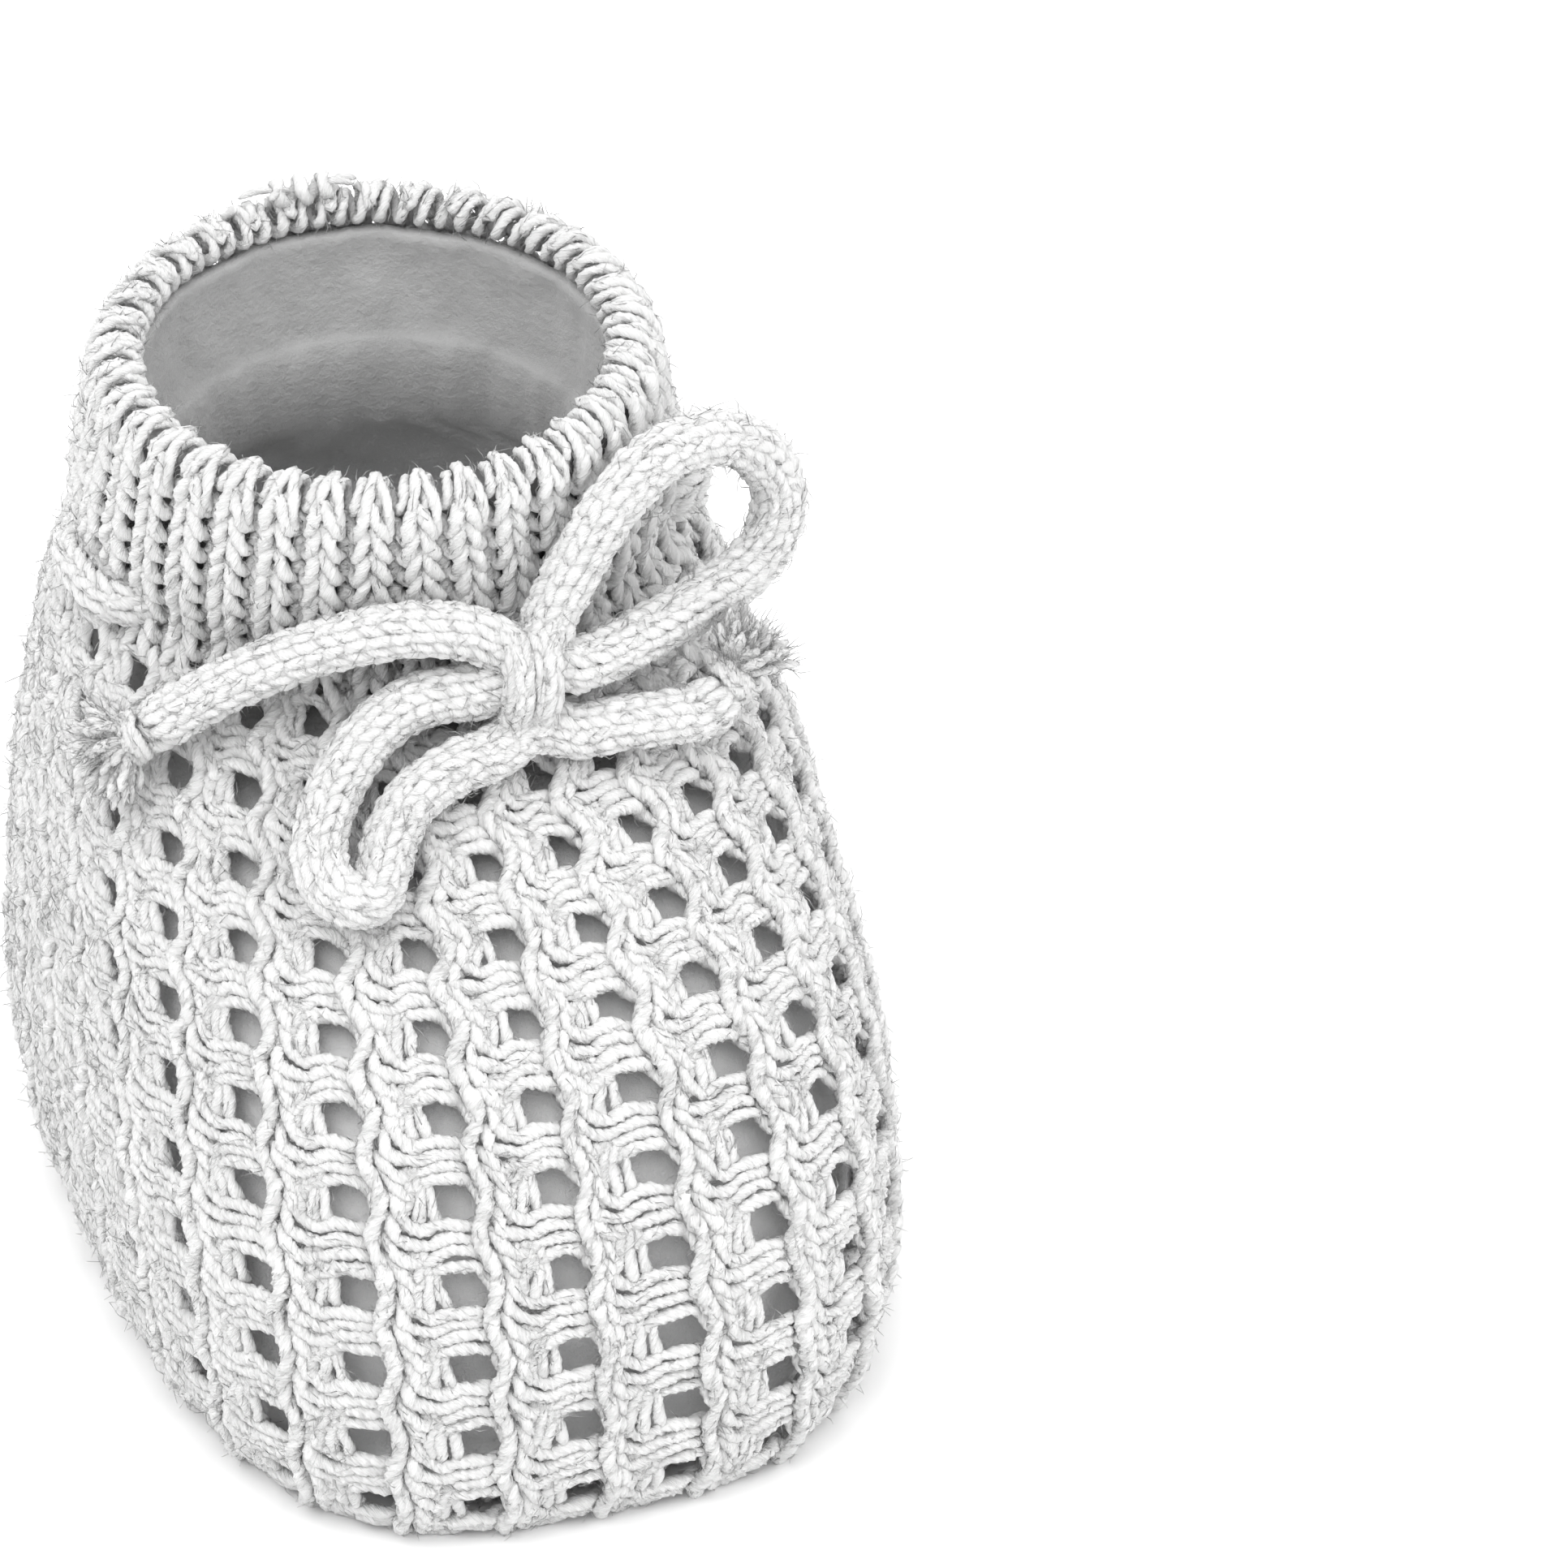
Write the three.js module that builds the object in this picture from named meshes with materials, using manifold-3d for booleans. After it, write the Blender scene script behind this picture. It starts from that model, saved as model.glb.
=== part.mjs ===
// A knitted baby bootie: a lace-knit foot on a knitted sole, an eyelet band, a ribbed cuff with a
// rolled rim, a soft lining, and a knitted tie cord threaded round the ankle and tied in a bow.
// Millimetres, +Z up, toe towards -Y, origin on the floor under the middle of the bootie.
import * as THREE from "three";
import Module from "manifold-3d";
import { mergeVertices } from "three/addons/utils/BufferGeometryUtils.js";

const wasm = await Module();
wasm.setup();

// ---- driving dimensions ----
const HEIGHT = 78; // floor to the top of the rim
const ANKLE_Z = 57; // height of the ankle line, where the foot meets the eyelet band
const OPENING_Y = 17.5; // middle of the ankle opening, behind the middle of the sole
const GAP = 0.3; // clearance between pieces that touch in the real bootie

const KNIT = 2.4; // thickness of the knitted wall
const LINING = 1.2; // thickness of the lining
const RIM = { up: 1.6, across: 2.1 }; // half height and half width of the rolled rim edge
const CUFF_TOP = { z: HEIGHT - RIM.up, halfWidth: 23.7, halfLength: 22.6 };
const ANKLE = { z: ANKLE_Z, halfWidth: 26.5, halfLength: 23.5 };
const BAND_TOP = 64; // top of the eyelet band, under the cuff
const BAND = 1.4; // thickness of the eyelet band
const BAND_INSET = 1.2; // the band is drawn in by the tie cord
const BAND_LIFT = 0.7; // the band's lower edge above the ankle line

const SOLE_TOP = 2.6; // thickness of the knitted sole
const SEAM_R = 1.1; // radius of the sole seam's bead
const WALL_FOOT = 0.7; // height where the knitted wall starts, turned under round the sole

const CORD_D = 5.0; // diameter of the free knitted cord
const HELD_CORD_D = 3.4; // the cord pulled tight round the ankle
const EYELET_R = HELD_CORD_D / 2 + 0.5;

const ROUND = 48; // divisions round the bootie
const WHITE = 0xf4f4f2;

// ---- the foot's form ----
// One row for each level of the foot, from the ankle (t 0) to the floor edge (t 1): the front, the
// widest point at the side and the back, each with its height.
const COLUMNS = ["t", "frontY", "frontZ", "halfWidth", "sideY", "sideZ", "backY", "backZ"];
const LEVELS = [
  [0.0, -6.0, 57.0, 26.5, 17.5, 57.0, 41.0, 57.0],
  [0.15, -14.5, 53.0, 29.3, 13.0, 49.0, 43.5, 49.0],
  [0.32, -26.5, 46.0, 31.6, 7.0, 39.5, 45.8, 39.0],
  [0.5, -38.5, 36.5, 33.0, 2.5, 29.0, 47.2, 28.0],
  [0.66, -46.8, 25.5, 33.5, 0.0, 19.5, 47.4, 19.0],
  [0.8, -50.3, 14.0, 33.0, -1.0, 11.0, 46.2, 10.5],
  [0.92, -50.2, 5.0, 31.2, -1.0, 3.8, 44.0, 3.8],
  [1.0, -47.6, 0.0, 28.0, -1.0, 0.0, 41.0, 0.0],
].map((row) => Object.fromEntries(COLUMNS.map((column, k) => [column, row[k]])));
const TOE_SQUARENESS = 3.1; // superellipse exponent of the blunt toe; 2 is a plain ellipse
const HEEL_SQUARENESS = 2.3;

// A smooth curve through one column of LEVELS.
function level(column, t) {
  const last = LEVELS.length - 1;
  let i = 0;
  while (i < last - 1 && t > LEVELS[i + 1].t) i++;
  const slope = (a, b) => (LEVELS[b][column] - LEVELS[a][column]) / (LEVELS[b].t - LEVELS[a].t);
  const tangent = (k) => {
    if (k === 0) return slope(0, 1);
    if (k === last) return slope(last - 1, last);
    return (slope(k - 1, k) + slope(k, k + 1)) / 2;
  };
  const width = LEVELS[i + 1].t - LEVELS[i].t;
  const s = (t - LEVELS[i].t) / width;
  return (
    (2 * s ** 3 - 3 * s ** 2 + 1) * LEVELS[i][column] +
    (s ** 3 - 2 * s ** 2 + s) * width * tangent(i) +
    (3 * s ** 2 - 2 * s ** 3) * LEVELS[i + 1][column] +
    (s ** 3 - s ** 2) * width * tangent(i + 1)
  );
}

// A point of the foot's outer face. angle is 0 at the toe, a quarter turn at +X, a half at the heel.
function footPoint(angle, t) {
  const cos = Math.cos(angle);
  const sin = Math.sin(angle);
  const full = Math.min(t / 0.5, 1);
  const squareness = cos > 0 ? 2 + (TOE_SQUARENESS - 2) * full : 2 + (HEEL_SQUARENESS - 2) * full;
  const bulge = (v) => Math.sign(v) * Math.abs(v) ** (2 / squareness);
  const sideY = level("sideY", t);
  const endY = cos > 0 ? level("frontY", t) : level("backY", t);
  const frontZ = level("frontZ", t);
  const backZ = level("backZ", t);
  const sideZ = level("sideZ", t);
  return new THREE.Vector3(
    level("halfWidth", t) * bulge(sin),
    sideY + (endY - sideY) * Math.abs(bulge(cos)),
    sideZ + ((frontZ - backZ) / 2) * cos + ((frontZ + backZ) / 2 - sideZ) * cos * cos,
  );
}

// A point of the cuff's outer face, from the rim (0) down to the ankle line (1).
function cuffPoint(angle, t) {
  const mix = (a, b) => a + (b - a) * t;
  return new THREE.Vector3(
    mix(CUFF_TOP.halfWidth, ANKLE.halfWidth) * Math.sin(angle),
    OPENING_Y - mix(CUFF_TOP.halfLength, ANKLE.halfLength) * Math.cos(angle),
    mix(CUFF_TOP.z, ANKLE.z),
  );
}

const cuffAt = (z) => (CUFF_TOP.z - z) / (CUFF_TOP.z - ANKLE.z);

// The outward normal of a face given as face(angle, t).
function normal(face, angle, t) {
  const step = 0.01;
  const low = Math.max(t - step, 0);
  const high = Math.min(t + step, 1);
  const along = face(angle + step, t).sub(face(angle - step, t));
  const down = face(angle, high).sub(face(angle, low));
  return down.cross(along).normalize();
}

// The level t at which face reaches a height at one angle.
function levelAtHeight(face, angle, z) {
  let low = 0;
  let high = 1;
  for (let i = 0; i < 40; i++) {
    const middle = (low + high) / 2;
    if (face(angle, middle).z > z) low = middle;
    else high = middle;
  }
  return (low + high) / 2;
}

// ---- geometry helpers ----
// A closed skin over a grid of points: rows of equal length, each row a closed loop. The grid's
// first and last rows are capped by a fan, or joined to each other when the grid is itself a loop.
function closedGrid(rows, joined) {
  const across = rows[0].length;
  const positions = rows.flat().flatMap((p) => [p.x, p.y, p.z]);
  const index = [];
  const spans = joined ? rows.length : rows.length - 1;
  for (let i = 0; i < spans; i++) {
    for (let j = 0; j < across; j++) {
      const a = i * across + j;
      const b = i * across + ((j + 1) % across);
      const c = ((i + 1) % rows.length) * across + j;
      const d = ((i + 1) % rows.length) * across + ((j + 1) % across);
      index.push(a, c, b, b, c, d);
    }
  }
  if (!joined) {
    for (const [row, turned] of [[0, false], [rows.length - 1, true]]) {
      const middle = new THREE.Vector3();
      rows[row].forEach((p) => middle.addScaledVector(p, 1 / across));
      positions.push(middle.x, middle.y, middle.z);
      const hub = positions.length / 3 - 1;
      for (let j = 0; j < across; j++) {
        const a = row * across + j;
        const b = row * across + ((j + 1) % across);
        if (turned) index.push(hub, b, a);
        else index.push(hub, a, b);
      }
    }
  }
  const geometry = new THREE.BufferGeometry();
  geometry.setAttribute("position", new THREE.Float32BufferAttribute(positions, 3));
  geometry.setIndex(index);
  return outward(geometry);
}

// Turns a closed geometry's faces outwards.
function outward(geometry) {
  const p = geometry.attributes.position;
  const index = geometry.index.array;
  const corner = (k) => new THREE.Vector3().fromBufferAttribute(p, index[k]);
  let volume = 0;
  for (let k = 0; k < index.length; k += 3) {
    volume += corner(k).dot(corner(k + 1).cross(corner(k + 2)));
  }
  if (volume < 0) {
    for (let k = 0; k < index.length; k += 3) {
      [index[k + 1], index[k + 2]] = [index[k + 2], index[k + 1]];
    }
  }
  return geometry;
}

// A wall all round the bootie between two levels, from depth `from` to depth `to` inside its face.
// top(angle) and bottom(angle) give the levels t of its edges.
function ringWall(face, top, bottom, from, to, steps) {
  const rows = [];
  for (let i = 0; i < ROUND; i++) {
    const angle = (2 * Math.PI * i) / ROUND;
    const section = [];
    const at = (share, depth) => {
      const t = top(angle) + (bottom(angle) - top(angle)) * share;
      return face(angle, t).addScaledVector(normal(face, angle, t), -depth);
    };
    for (let k = 0; k <= steps; k++) section.push(at(k / steps, from));
    for (let k = steps; k >= 0; k--) section.push(at(k / steps, to));
    rows.push(section);
  }
  return closedGrid(rows, true);
}

// A round bar along a curve.
function bar(curve, steps, radius) {
  const section = new THREE.Shape();
  section.absarc(0, 0, radius, 0, 2 * Math.PI);
  return new THREE.ExtrudeGeometry(section, {
    steps,
    curveSegments: 4,
    extrudePath: curve,
    bevelEnabled: false,
  });
}

// A ring of oval section through the points path(angle).
function ringBar(path, across, up, sides) {
  const rows = [];
  const step = 0.01;
  for (let i = 0; i < ROUND; i++) {
    const angle = (2 * Math.PI * i) / ROUND;
    const along = path(angle + step).sub(path(angle - step)).normalize();
    const out = along.clone().cross(new THREE.Vector3(0, 0, 1)).normalize();
    const over = out.clone().cross(along).normalize();
    const section = [];
    for (let k = 0; k < sides; k++) {
      const turn = (2 * Math.PI * k) / sides;
      section.push(
        path(angle)
          .addScaledVector(out, across * Math.cos(turn))
          .addScaledVector(over, up * Math.sin(turn)),
      );
    }
    rows.push(section);
  }
  return closedGrid(rows, true);
}

function solid(geometry) {
  const bare = geometry.clone();
  bare.deleteAttribute("normal");
  bare.deleteAttribute("uv");
  const merged = mergeVertices(bare, 1e-3);
  return new wasm.Manifold(
    new wasm.Mesh({
      numProp: 3,
      vertProperties: merged.attributes.position.array,
      triVerts: new Uint32Array(merged.index.array),
    }),
  );
}

function geometryOf(made) {
  const mesh = made.getMesh();
  const geometry = new THREE.BufferGeometry();
  geometry.setAttribute("position", new THREE.Float32BufferAttribute(mesh.vertProperties, mesh.numProp));
  geometry.setIndex([...mesh.triVerts]);
  return geometry;
}

// ---- the bootie ----
const bootie = new THREE.Group();
bootie.name = "baby_bootie";

function add(name, geometry, color = WHITE, roughness = 0.95) {
  const material = new THREE.MeshStandardMaterial({ color, roughness, metalness: 0 });
  const mesh = new THREE.Mesh(geometry, material);
  mesh.name = name;
  bootie.add(mesh);
}

// The foot's knitted wall, cut into the vamp over the toe, two sides and the heel.
const VAMP_BACK_Y = -9; // the toe's wall reaches back to here
const HEEL_FRONT_Y = 24; // and the heel's wall forward to here
const footWall = solid(
  ringWall(
    footPoint,
    () => 0,
    (angle) => levelAtHeight(footPoint, angle, WALL_FOOT),
    0,
    KNIT,
    9,
  ),
);

// A block of the space ahead of (or behind) a plane across the bootie.
function block(low, high) {
  const size = high.clone().sub(low);
  const geometry = new THREE.BoxGeometry(size.x, size.y, size.z);
  geometry.translate(...low.clone().add(high).multiplyScalar(0.5).toArray());
  return solid(geometry);
}
const FAR = 80;
const ahead = (y) => block(new THREE.Vector3(-FAR, -FAR, -FAR), new THREE.Vector3(FAR, y, 2 * FAR));
const behind = (y) => block(new THREE.Vector3(-FAR, y, -FAR), new THREE.Vector3(FAR, FAR, 2 * FAR));
const leftOf = (x) => block(new THREE.Vector3(-FAR, -FAR, -FAR), new THREE.Vector3(x, FAR, 2 * FAR));
const rightOf = (x) => block(new THREE.Vector3(x, -FAR, -FAR), new THREE.Vector3(FAR, FAR, 2 * FAR));

// The vamp is the toe and a tongue of knitting from it up to the front of the ankle.
const TONGUE_HALF = 11; // half the tongue's width
const instep = footWall.intersect(ahead(OPENING_Y));
const tongue = instep.intersect(rightOf(-TONGUE_HALF)).intersect(leftOf(TONGUE_HALF));
const toeWall = footWall.intersect(ahead(VAMP_BACK_Y - GAP / 2));
add("lace_vamp", geometryOf(toeWall.add(tongue)));
const middleWall = footWall.subtract(ahead(VAMP_BACK_Y + GAP / 2)).subtract(behind(HEEL_FRONT_Y - GAP / 2));
add("lace_side_left", geometryOf(middleWall.intersect(leftOf(-TONGUE_HALF - GAP))));
add("lace_side_right", geometryOf(middleWall.intersect(rightOf(TONGUE_HALF + GAP))));
add("heel_panel", geometryOf(footWall.intersect(behind(HEEL_FRONT_Y + GAP / 2))));

// The eyelet band, drawn in a little, with an eyelet wherever the tie cord passes through it.
const heldRadius = HELD_CORD_D / 2;
const bandBottom = ANKLE_Z + BAND_LIFT;
const cordZ = (BAND_TOP + bandBottom) / 2;
const cordT = cuffAt(cordZ);
const innerDepth = BAND_INSET + BAND + GAP + heldRadius; // cord behind the band
const outerDepth = BAND_INSET - GAP - heldRadius; // cord over the band
const degrees = (value) => (value * Math.PI) / 180;

// Angles from the front at which the cord slants through the band: out and in again on each side.
const SIDE_CROSSINGS = [66, 96, 264, 294].map(degrees);
const SLANT = degrees(7); // half the angle over which it changes sides
const SIDE_STRETCH = 1.9; // how far the slanting cord draws a side eyelet open along the band
const FRONT_STRETCH = 1.55;

function cordDepth(angle) {
  const crossed = SIDE_CROSSINGS.filter((crossing) => crossing < angle).length;
  let over = crossed % 2;
  SIDE_CROSSINGS.forEach((crossing, k) => {
    const away = (angle - crossing) / SLANT;
    if (Math.abs(away) > 1) return;
    const share = THREE.MathUtils.smoothstep(away, -1, 1);
    over = k % 2 === 0 ? share : 1 - share;
  });
  return innerDepth + (outerDepth - innerDepth) * over;
}

const heldPoint = (angle, depth) =>
  cuffPoint(angle, cordT).addScaledVector(normal(cuffPoint, angle, cordT), -depth);

// The two front eyelets lie under the bow knot, and the cord's ends come out through them.
const FRONT_EYELETS_X = [8.8, 0.7];
const KNOT = { centre: [4.4, -12.2, 62], halfSize: [3.0, 3.0, 5.0] };
const RIGHT_END = [[6.7, -8.8, 61.4], [7.2, -6.4, 60.9], [8.1, -2.9, cordZ], [10.0, 1.0, cordZ]];
const LEFT_END = [[2.1, -8.8, 61.4], [1.6, -6.4, 60.9], [0.9, -4.0, cordZ], [-0.9, -1.7, cordZ]];
const RING_START = degrees(36);
const RING_END = degrees(348);
const RING_POINTS = 70;

function heldRoute() {
  const ring = [];
  for (let k = 0; k <= RING_POINTS; k++) {
    const angle = RING_START + ((RING_END - RING_START) * k) / RING_POINTS;
    ring.push(heldPoint(angle, cordDepth(angle)));
  }
  const ends = (points) => points.map((p) => new THREE.Vector3(...p));
  return new THREE.CatmullRomCurve3([...ends(RIGHT_END), ...ring, ...ends(LEFT_END).reverse()]);
}

function eyelet(angle, stretch) {
  const out = normal(cuffPoint, angle, cordT);
  const up = new THREE.Vector3(0, 0, 1);
  const drill = new THREE.CylinderGeometry(EYELET_R, EYELET_R, 6 * BAND, 10);
  drill.scale(stretch, 1, 1);
  drill.applyMatrix4(new THREE.Matrix4().makeBasis(out.clone().cross(up), out, up));
  drill.translate(...heldPoint(angle, BAND_INSET + BAND / 2).toArray());
  return solid(drill);
}

let band = solid(
  ringWall(
    cuffPoint,
    () => cuffAt(BAND_TOP),
    () => cuffAt(bandBottom),
    BAND_INSET,
    BAND_INSET + BAND,
    2,
  ),
);
for (const crossing of SIDE_CROSSINGS) band = band.subtract(eyelet(crossing, SIDE_STRETCH));
for (const x of FRONT_EYELETS_X) {
  band = band.subtract(eyelet(Math.asin(x / ANKLE.halfWidth), FRONT_STRETCH));
}
add("eyelet_band", geometryOf(band));
add("tie_cord_ankle", bar(heldRoute(), 66, heldRadius));

// The ribbed cuff stands on the band, with the rolled rim on top.
add(
  "ribbed_cuff",
  ringWall(
    cuffPoint,
    () => cuffAt(HEIGHT - 2 * RIM.up - GAP),
    () => cuffAt(BAND_TOP + GAP),
    0,
    KNIT,
    2,
  ),
);
function rimPath(angle) {
  const out = normal(cuffPoint, angle, 0).setZ(0).normalize();
  return cuffPoint(angle, 0).addScaledVector(out, GAP - RIM.across);
}
add("rim_edge", ringBar(rimPath, RIM.across, RIM.up, 10));

// The lining is a cup inside the knitting: it stops under the rim, passes behind the held cord and
// ends in a flat floor on the sole. Each row is a level of the cuff or foot and a depth inside it.
const besideCord = innerDepth + heldRadius + 1.5 * GAP;
const besideKnit = KNIT + GAP;
const LINING_TOP = HEIGHT - 2 * RIM.up - 3 * GAP;
const liningRows = [
  [cuffPoint, cuffAt(LINING_TOP), besideKnit],
  [cuffPoint, cuffAt(68.0), besideKnit + 0.3],
  [cuffPoint, cuffAt(63.3), besideCord],
  [cuffPoint, cuffAt(58.2), besideCord],
  [footPoint, 0.12, besideCord - 2.0],
  [footPoint, 0.22, besideKnit + 0.3],
  ...[0.36, 0.5, 0.62, 0.73].map((t) => [footPoint, t, besideKnit + 0.2]),
  [footPoint, 0.82, besideKnit + 0.5],
  [footPoint, 0.89, besideKnit + 1.0],
  [footPoint, 0.94, besideKnit + 2.2],
];

// The cup's body out to its rows, or further in by `extra`, down to a flat floor.
function liningBody(extra, rise, floor) {
  const rows = liningRows.map(([face, t, depth]) => {
    const row = [];
    for (let i = 0; i < ROUND; i++) {
      const angle = (2 * Math.PI * i) / ROUND;
      row.push(face(angle, t).addScaledVector(normal(face, angle, t), -depth - extra));
    }
    return row;
  });
  rows.unshift(rows[0].map((p) => p.clone().setZ(p.z + rise)));
  rows.push(rows[rows.length - 1].map((p) => p.clone().setZ(floor)));
  return solid(closedGrid(rows, false));
}
const liningFloor = SOLE_TOP + GAP;
const liningOuter = liningBody(0, GAP, liningFloor);
const liningInner = liningBody(LINING, 10 * GAP, liningFloor + LINING);
add("lining", geometryOf(liningOuter.subtract(liningInner)), 0xdededc);

// The sole, with a rounded edge and a flat underside, inside the turned-under foot of the wall.
// The seam bead runs between them.
function underRing(angle, inset, z) {
  const t = levelAtHeight(footPoint, angle, WALL_FOOT);
  const out = normal(footPoint, angle, t).setZ(0).normalize();
  return footPoint(angle, t).addScaledVector(out, -inset).setZ(z);
}
const seamInset = KNIT + GAP + SEAM_R;
const soleInset = seamInset + SEAM_R + GAP;
const EDGE_ROUND = 0.9; // rounding of the sole's lower edge
function soleRow(inset, z) {
  const row = [];
  for (let i = 0; i < ROUND; i++) row.push(underRing((2 * Math.PI * i) / ROUND, inset, z));
  return row;
}
const soleRows = [
  soleRow(soleInset + EDGE_ROUND, 0),
  soleRow(soleInset, EDGE_ROUND),
  soleRow(soleInset, SOLE_TOP),
];
add("sole", closedGrid(soleRows, false));
add("sole_seam", ringBar((angle) => underRing(angle, seamInset, GAP + SEAM_R), SEAM_R, SEAM_R, 6));

// The back seam, a raised bar of stitches from under the rim to the foot of the wall, and the small
// knot of yarn that finishes it on top of the rim.
const SEAM_PROUD = 1.43; // radius of the back seam
const SEAM_KNOT = { x: -0.4, half: [3.2, 1.5, 1.0] };
const backRoute = [];
for (const z of [73.4, 69, 64, 60.5, 57.6]) backRoute.push([cuffPoint, cuffAt(z)]);
for (const t of [0.1, 0.25, 0.4, 0.55, 0.68, 0.78, 0.88, 0.95]) backRoute.push([footPoint, t]);
const backCurve = new THREE.CatmullRomCurve3(
  backRoute.map(([face, t]) =>
    face(Math.PI, t).addScaledVector(normal(face, Math.PI, t), SEAM_PROUD + GAP),
  ),
);
add("back_seam", bar(backCurve, 24, SEAM_PROUD));
const seamKnot = new THREE.SphereGeometry(1, 12, 8);
seamKnot.scale(...SEAM_KNOT.half);
seamKnot.translate(
  SEAM_KNOT.x,
  OPENING_Y + CUFF_TOP.halfLength - RIM.across,
  HEIGHT + SEAM_KNOT.half[2] + GAP,
);
add("seam_end_knot", seamKnot);

// ---- the bow ----
function knotSolid(clearance) {
  const geometry = new THREE.SphereGeometry(1, 20, 14);
  geometry.scale(...KNOT.halfSize.map((half) => half + clearance));
  geometry.translate(...KNOT.centre);
  return geometry;
}
add("bow_knot", knotSolid(0));
const aroundKnot = solid(knotSolid(GAP));

// Routes of the free cord, each starting at the knot.
const LOOP_LEFT = [
  [-0.3, -11.6, 61.3], [-4.4, -11.4, 61.2], [-8.4, -12.4, 60.2], [-11.8, -14.6, 58.4],
  [-14.6, -17.6, 56.4], [-16.2, -20.8, 54.2], [-15.8, -23.6, 52.4], [-13.0, -24.8, 51.6],
  [-11.4, -23.0, 52.7], [-9.6, -20.0, 54.5], [-6.6, -17.2, 55.9], [-2.4, -15.6, 56.8],
  [1.2, -14.8, 57.0],
];
const LOOP_RIGHT = [
  [7.6, -9.9, 67.0], [10.4, -8.4, 70.4], [13.8, -6.2, 73.6], [18.2, -3.6, 75.8], [23.4, -1.0, 75.2],
  [28.0, 0.6, 72.4], [30.6, 0.8, 68.0], [30.0, -0.8, 64.2], [26.6, -3.4, 62.2], [21.0, -6.6, 62.0],
  [15.0, -9.8, 62.2], [9.2, -12.0, 62.4],
];
const TAIL_LEFT = [
  [0.4, -10.8, 66.7], [-3.8, -9.9, 67.5], [-8.6, -8.8, 67.0], [-13.2, -7.2, 65.2], [-17.8, -5.6, 62.8],
  [-22.4, -4.6, 60.0], [-26.8, -3.8, 57.2],
];
const TAIL_RIGHT = [
  [8.3, -14.2, 57.0], [12.0, -14.2, 57.0], [15.8, -14.0, 56.6], [19.4, -13.6, 56.2], [22.2, -12.6, 57.6],
];
const TUFT_R = 3.9; // radius of each frayed end knot

function freeCord(name, route, steps) {
  const curve = new THREE.CatmullRomCurve3(route.map((p) => new THREE.Vector3(...p)));
  add(name, geometryOf(solid(bar(curve, steps, CORD_D / 2)).subtract(aroundKnot)));
}
freeCord("bow_loop_left", LOOP_LEFT, 26);
freeCord("bow_loop_right", LOOP_RIGHT, 28);
freeCord("cord_tail_left", TAIL_LEFT, 12);
freeCord("cord_tail_right", TAIL_RIGHT, 7);

// The end knot sits just past the end of its tail.
function endKnot(name, route) {
  const [before, last] = route.slice(-2).map((p) => new THREE.Vector3(...p));
  const way = last.clone().sub(before).normalize();
  const geometry = new THREE.SphereGeometry(TUFT_R, 12, 8);
  const centre = last.clone().addScaledVector(way, TUFT_R + GAP);
  geometry.translate(centre.x, centre.y, centre.z);
  add(name, geometry);
}
endKnot("end_knot_left", TAIL_LEFT);
endKnot("end_knot_right", TAIL_RIGHT);

export default bootie;
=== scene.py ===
import math

import bpy
import numpy as np
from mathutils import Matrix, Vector


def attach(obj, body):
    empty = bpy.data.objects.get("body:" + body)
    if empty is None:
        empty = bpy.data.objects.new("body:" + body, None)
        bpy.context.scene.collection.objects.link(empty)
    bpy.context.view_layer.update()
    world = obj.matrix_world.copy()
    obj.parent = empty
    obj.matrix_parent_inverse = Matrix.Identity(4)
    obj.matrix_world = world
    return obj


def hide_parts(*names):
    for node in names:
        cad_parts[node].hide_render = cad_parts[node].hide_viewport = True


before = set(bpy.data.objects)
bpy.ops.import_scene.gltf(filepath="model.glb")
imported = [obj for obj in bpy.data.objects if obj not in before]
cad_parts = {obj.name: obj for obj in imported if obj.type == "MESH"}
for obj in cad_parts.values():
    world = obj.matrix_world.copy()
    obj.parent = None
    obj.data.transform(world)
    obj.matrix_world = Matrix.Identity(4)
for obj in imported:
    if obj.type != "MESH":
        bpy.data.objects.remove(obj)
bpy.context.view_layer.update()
MM = 0.001
TAU = 2 * math.pi
UP = np.array([0.0, 0.0, 1.0])
LEVEL = np.array([1.0, 1.0, 0.0])  # keeps the level part of a point or direction
random = np.random.default_rng(7)

# ---- the form, as in the CAD source ----
GAP = 0.3
KNIT = 2.4
HEIGHT = 78.0
RIM = {"up": 1.6, "across": 2.1}
ANKLE_Z = 57.0
OPENING_Y = 17.5
CUFF_TOP = {"z": HEIGHT - RIM["up"], "halfWidth": 23.7, "halfLength": 22.6}
ANKLE = {"z": ANKLE_Z, "halfWidth": 26.5, "halfLength": 23.5}
BAND_TOP = 64.0
BAND = 1.4
BAND_INSET = 1.2
HELD_CORD_D = 3.4
SOLE_TOP = 2.6
SEAM_R = 1.1
WALL_FOOT = 0.7  # height at which the foot's knitting ends
WAIST_Z = 60.6  # the cuff is drawn in most at this height
WAIST_REACH = 2.6  # and this far above and below

# One row for each level of the foot, from the ankle (t 0) to the floor edge (t 1).
COLUMNS = ["t", "frontY", "frontZ", "halfWidth", "sideY", "sideZ", "backY", "backZ"]
LEVELS = np.array(
    [
        [0.0, -6.0, 57.0, 26.5, 17.5, 57.0, 41.0, 57.0],
        [0.15, -14.5, 53.0, 29.3, 13.0, 49.0, 43.5, 49.0],
        [0.32, -26.5, 46.0, 31.6, 7.0, 39.5, 45.8, 39.0],
        [0.5, -38.5, 36.5, 33.0, 2.5, 29.0, 47.2, 28.0],
        [0.66, -46.8, 25.5, 33.5, 0.0, 19.5, 47.4, 19.0],
        [0.8, -50.3, 14.0, 33.0, -1.0, 11.0, 46.2, 10.5],
        [0.92, -50.2, 5.0, 31.2, -1.0, 3.8, 44.0, 3.8],
        [1.0, -47.6, 0.0, 28.0, -1.0, 0.0, 41.0, 0.0],
    ]
)
TOE_SQUARENESS = 3.1
HEEL_SQUARENESS = 2.3


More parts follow.
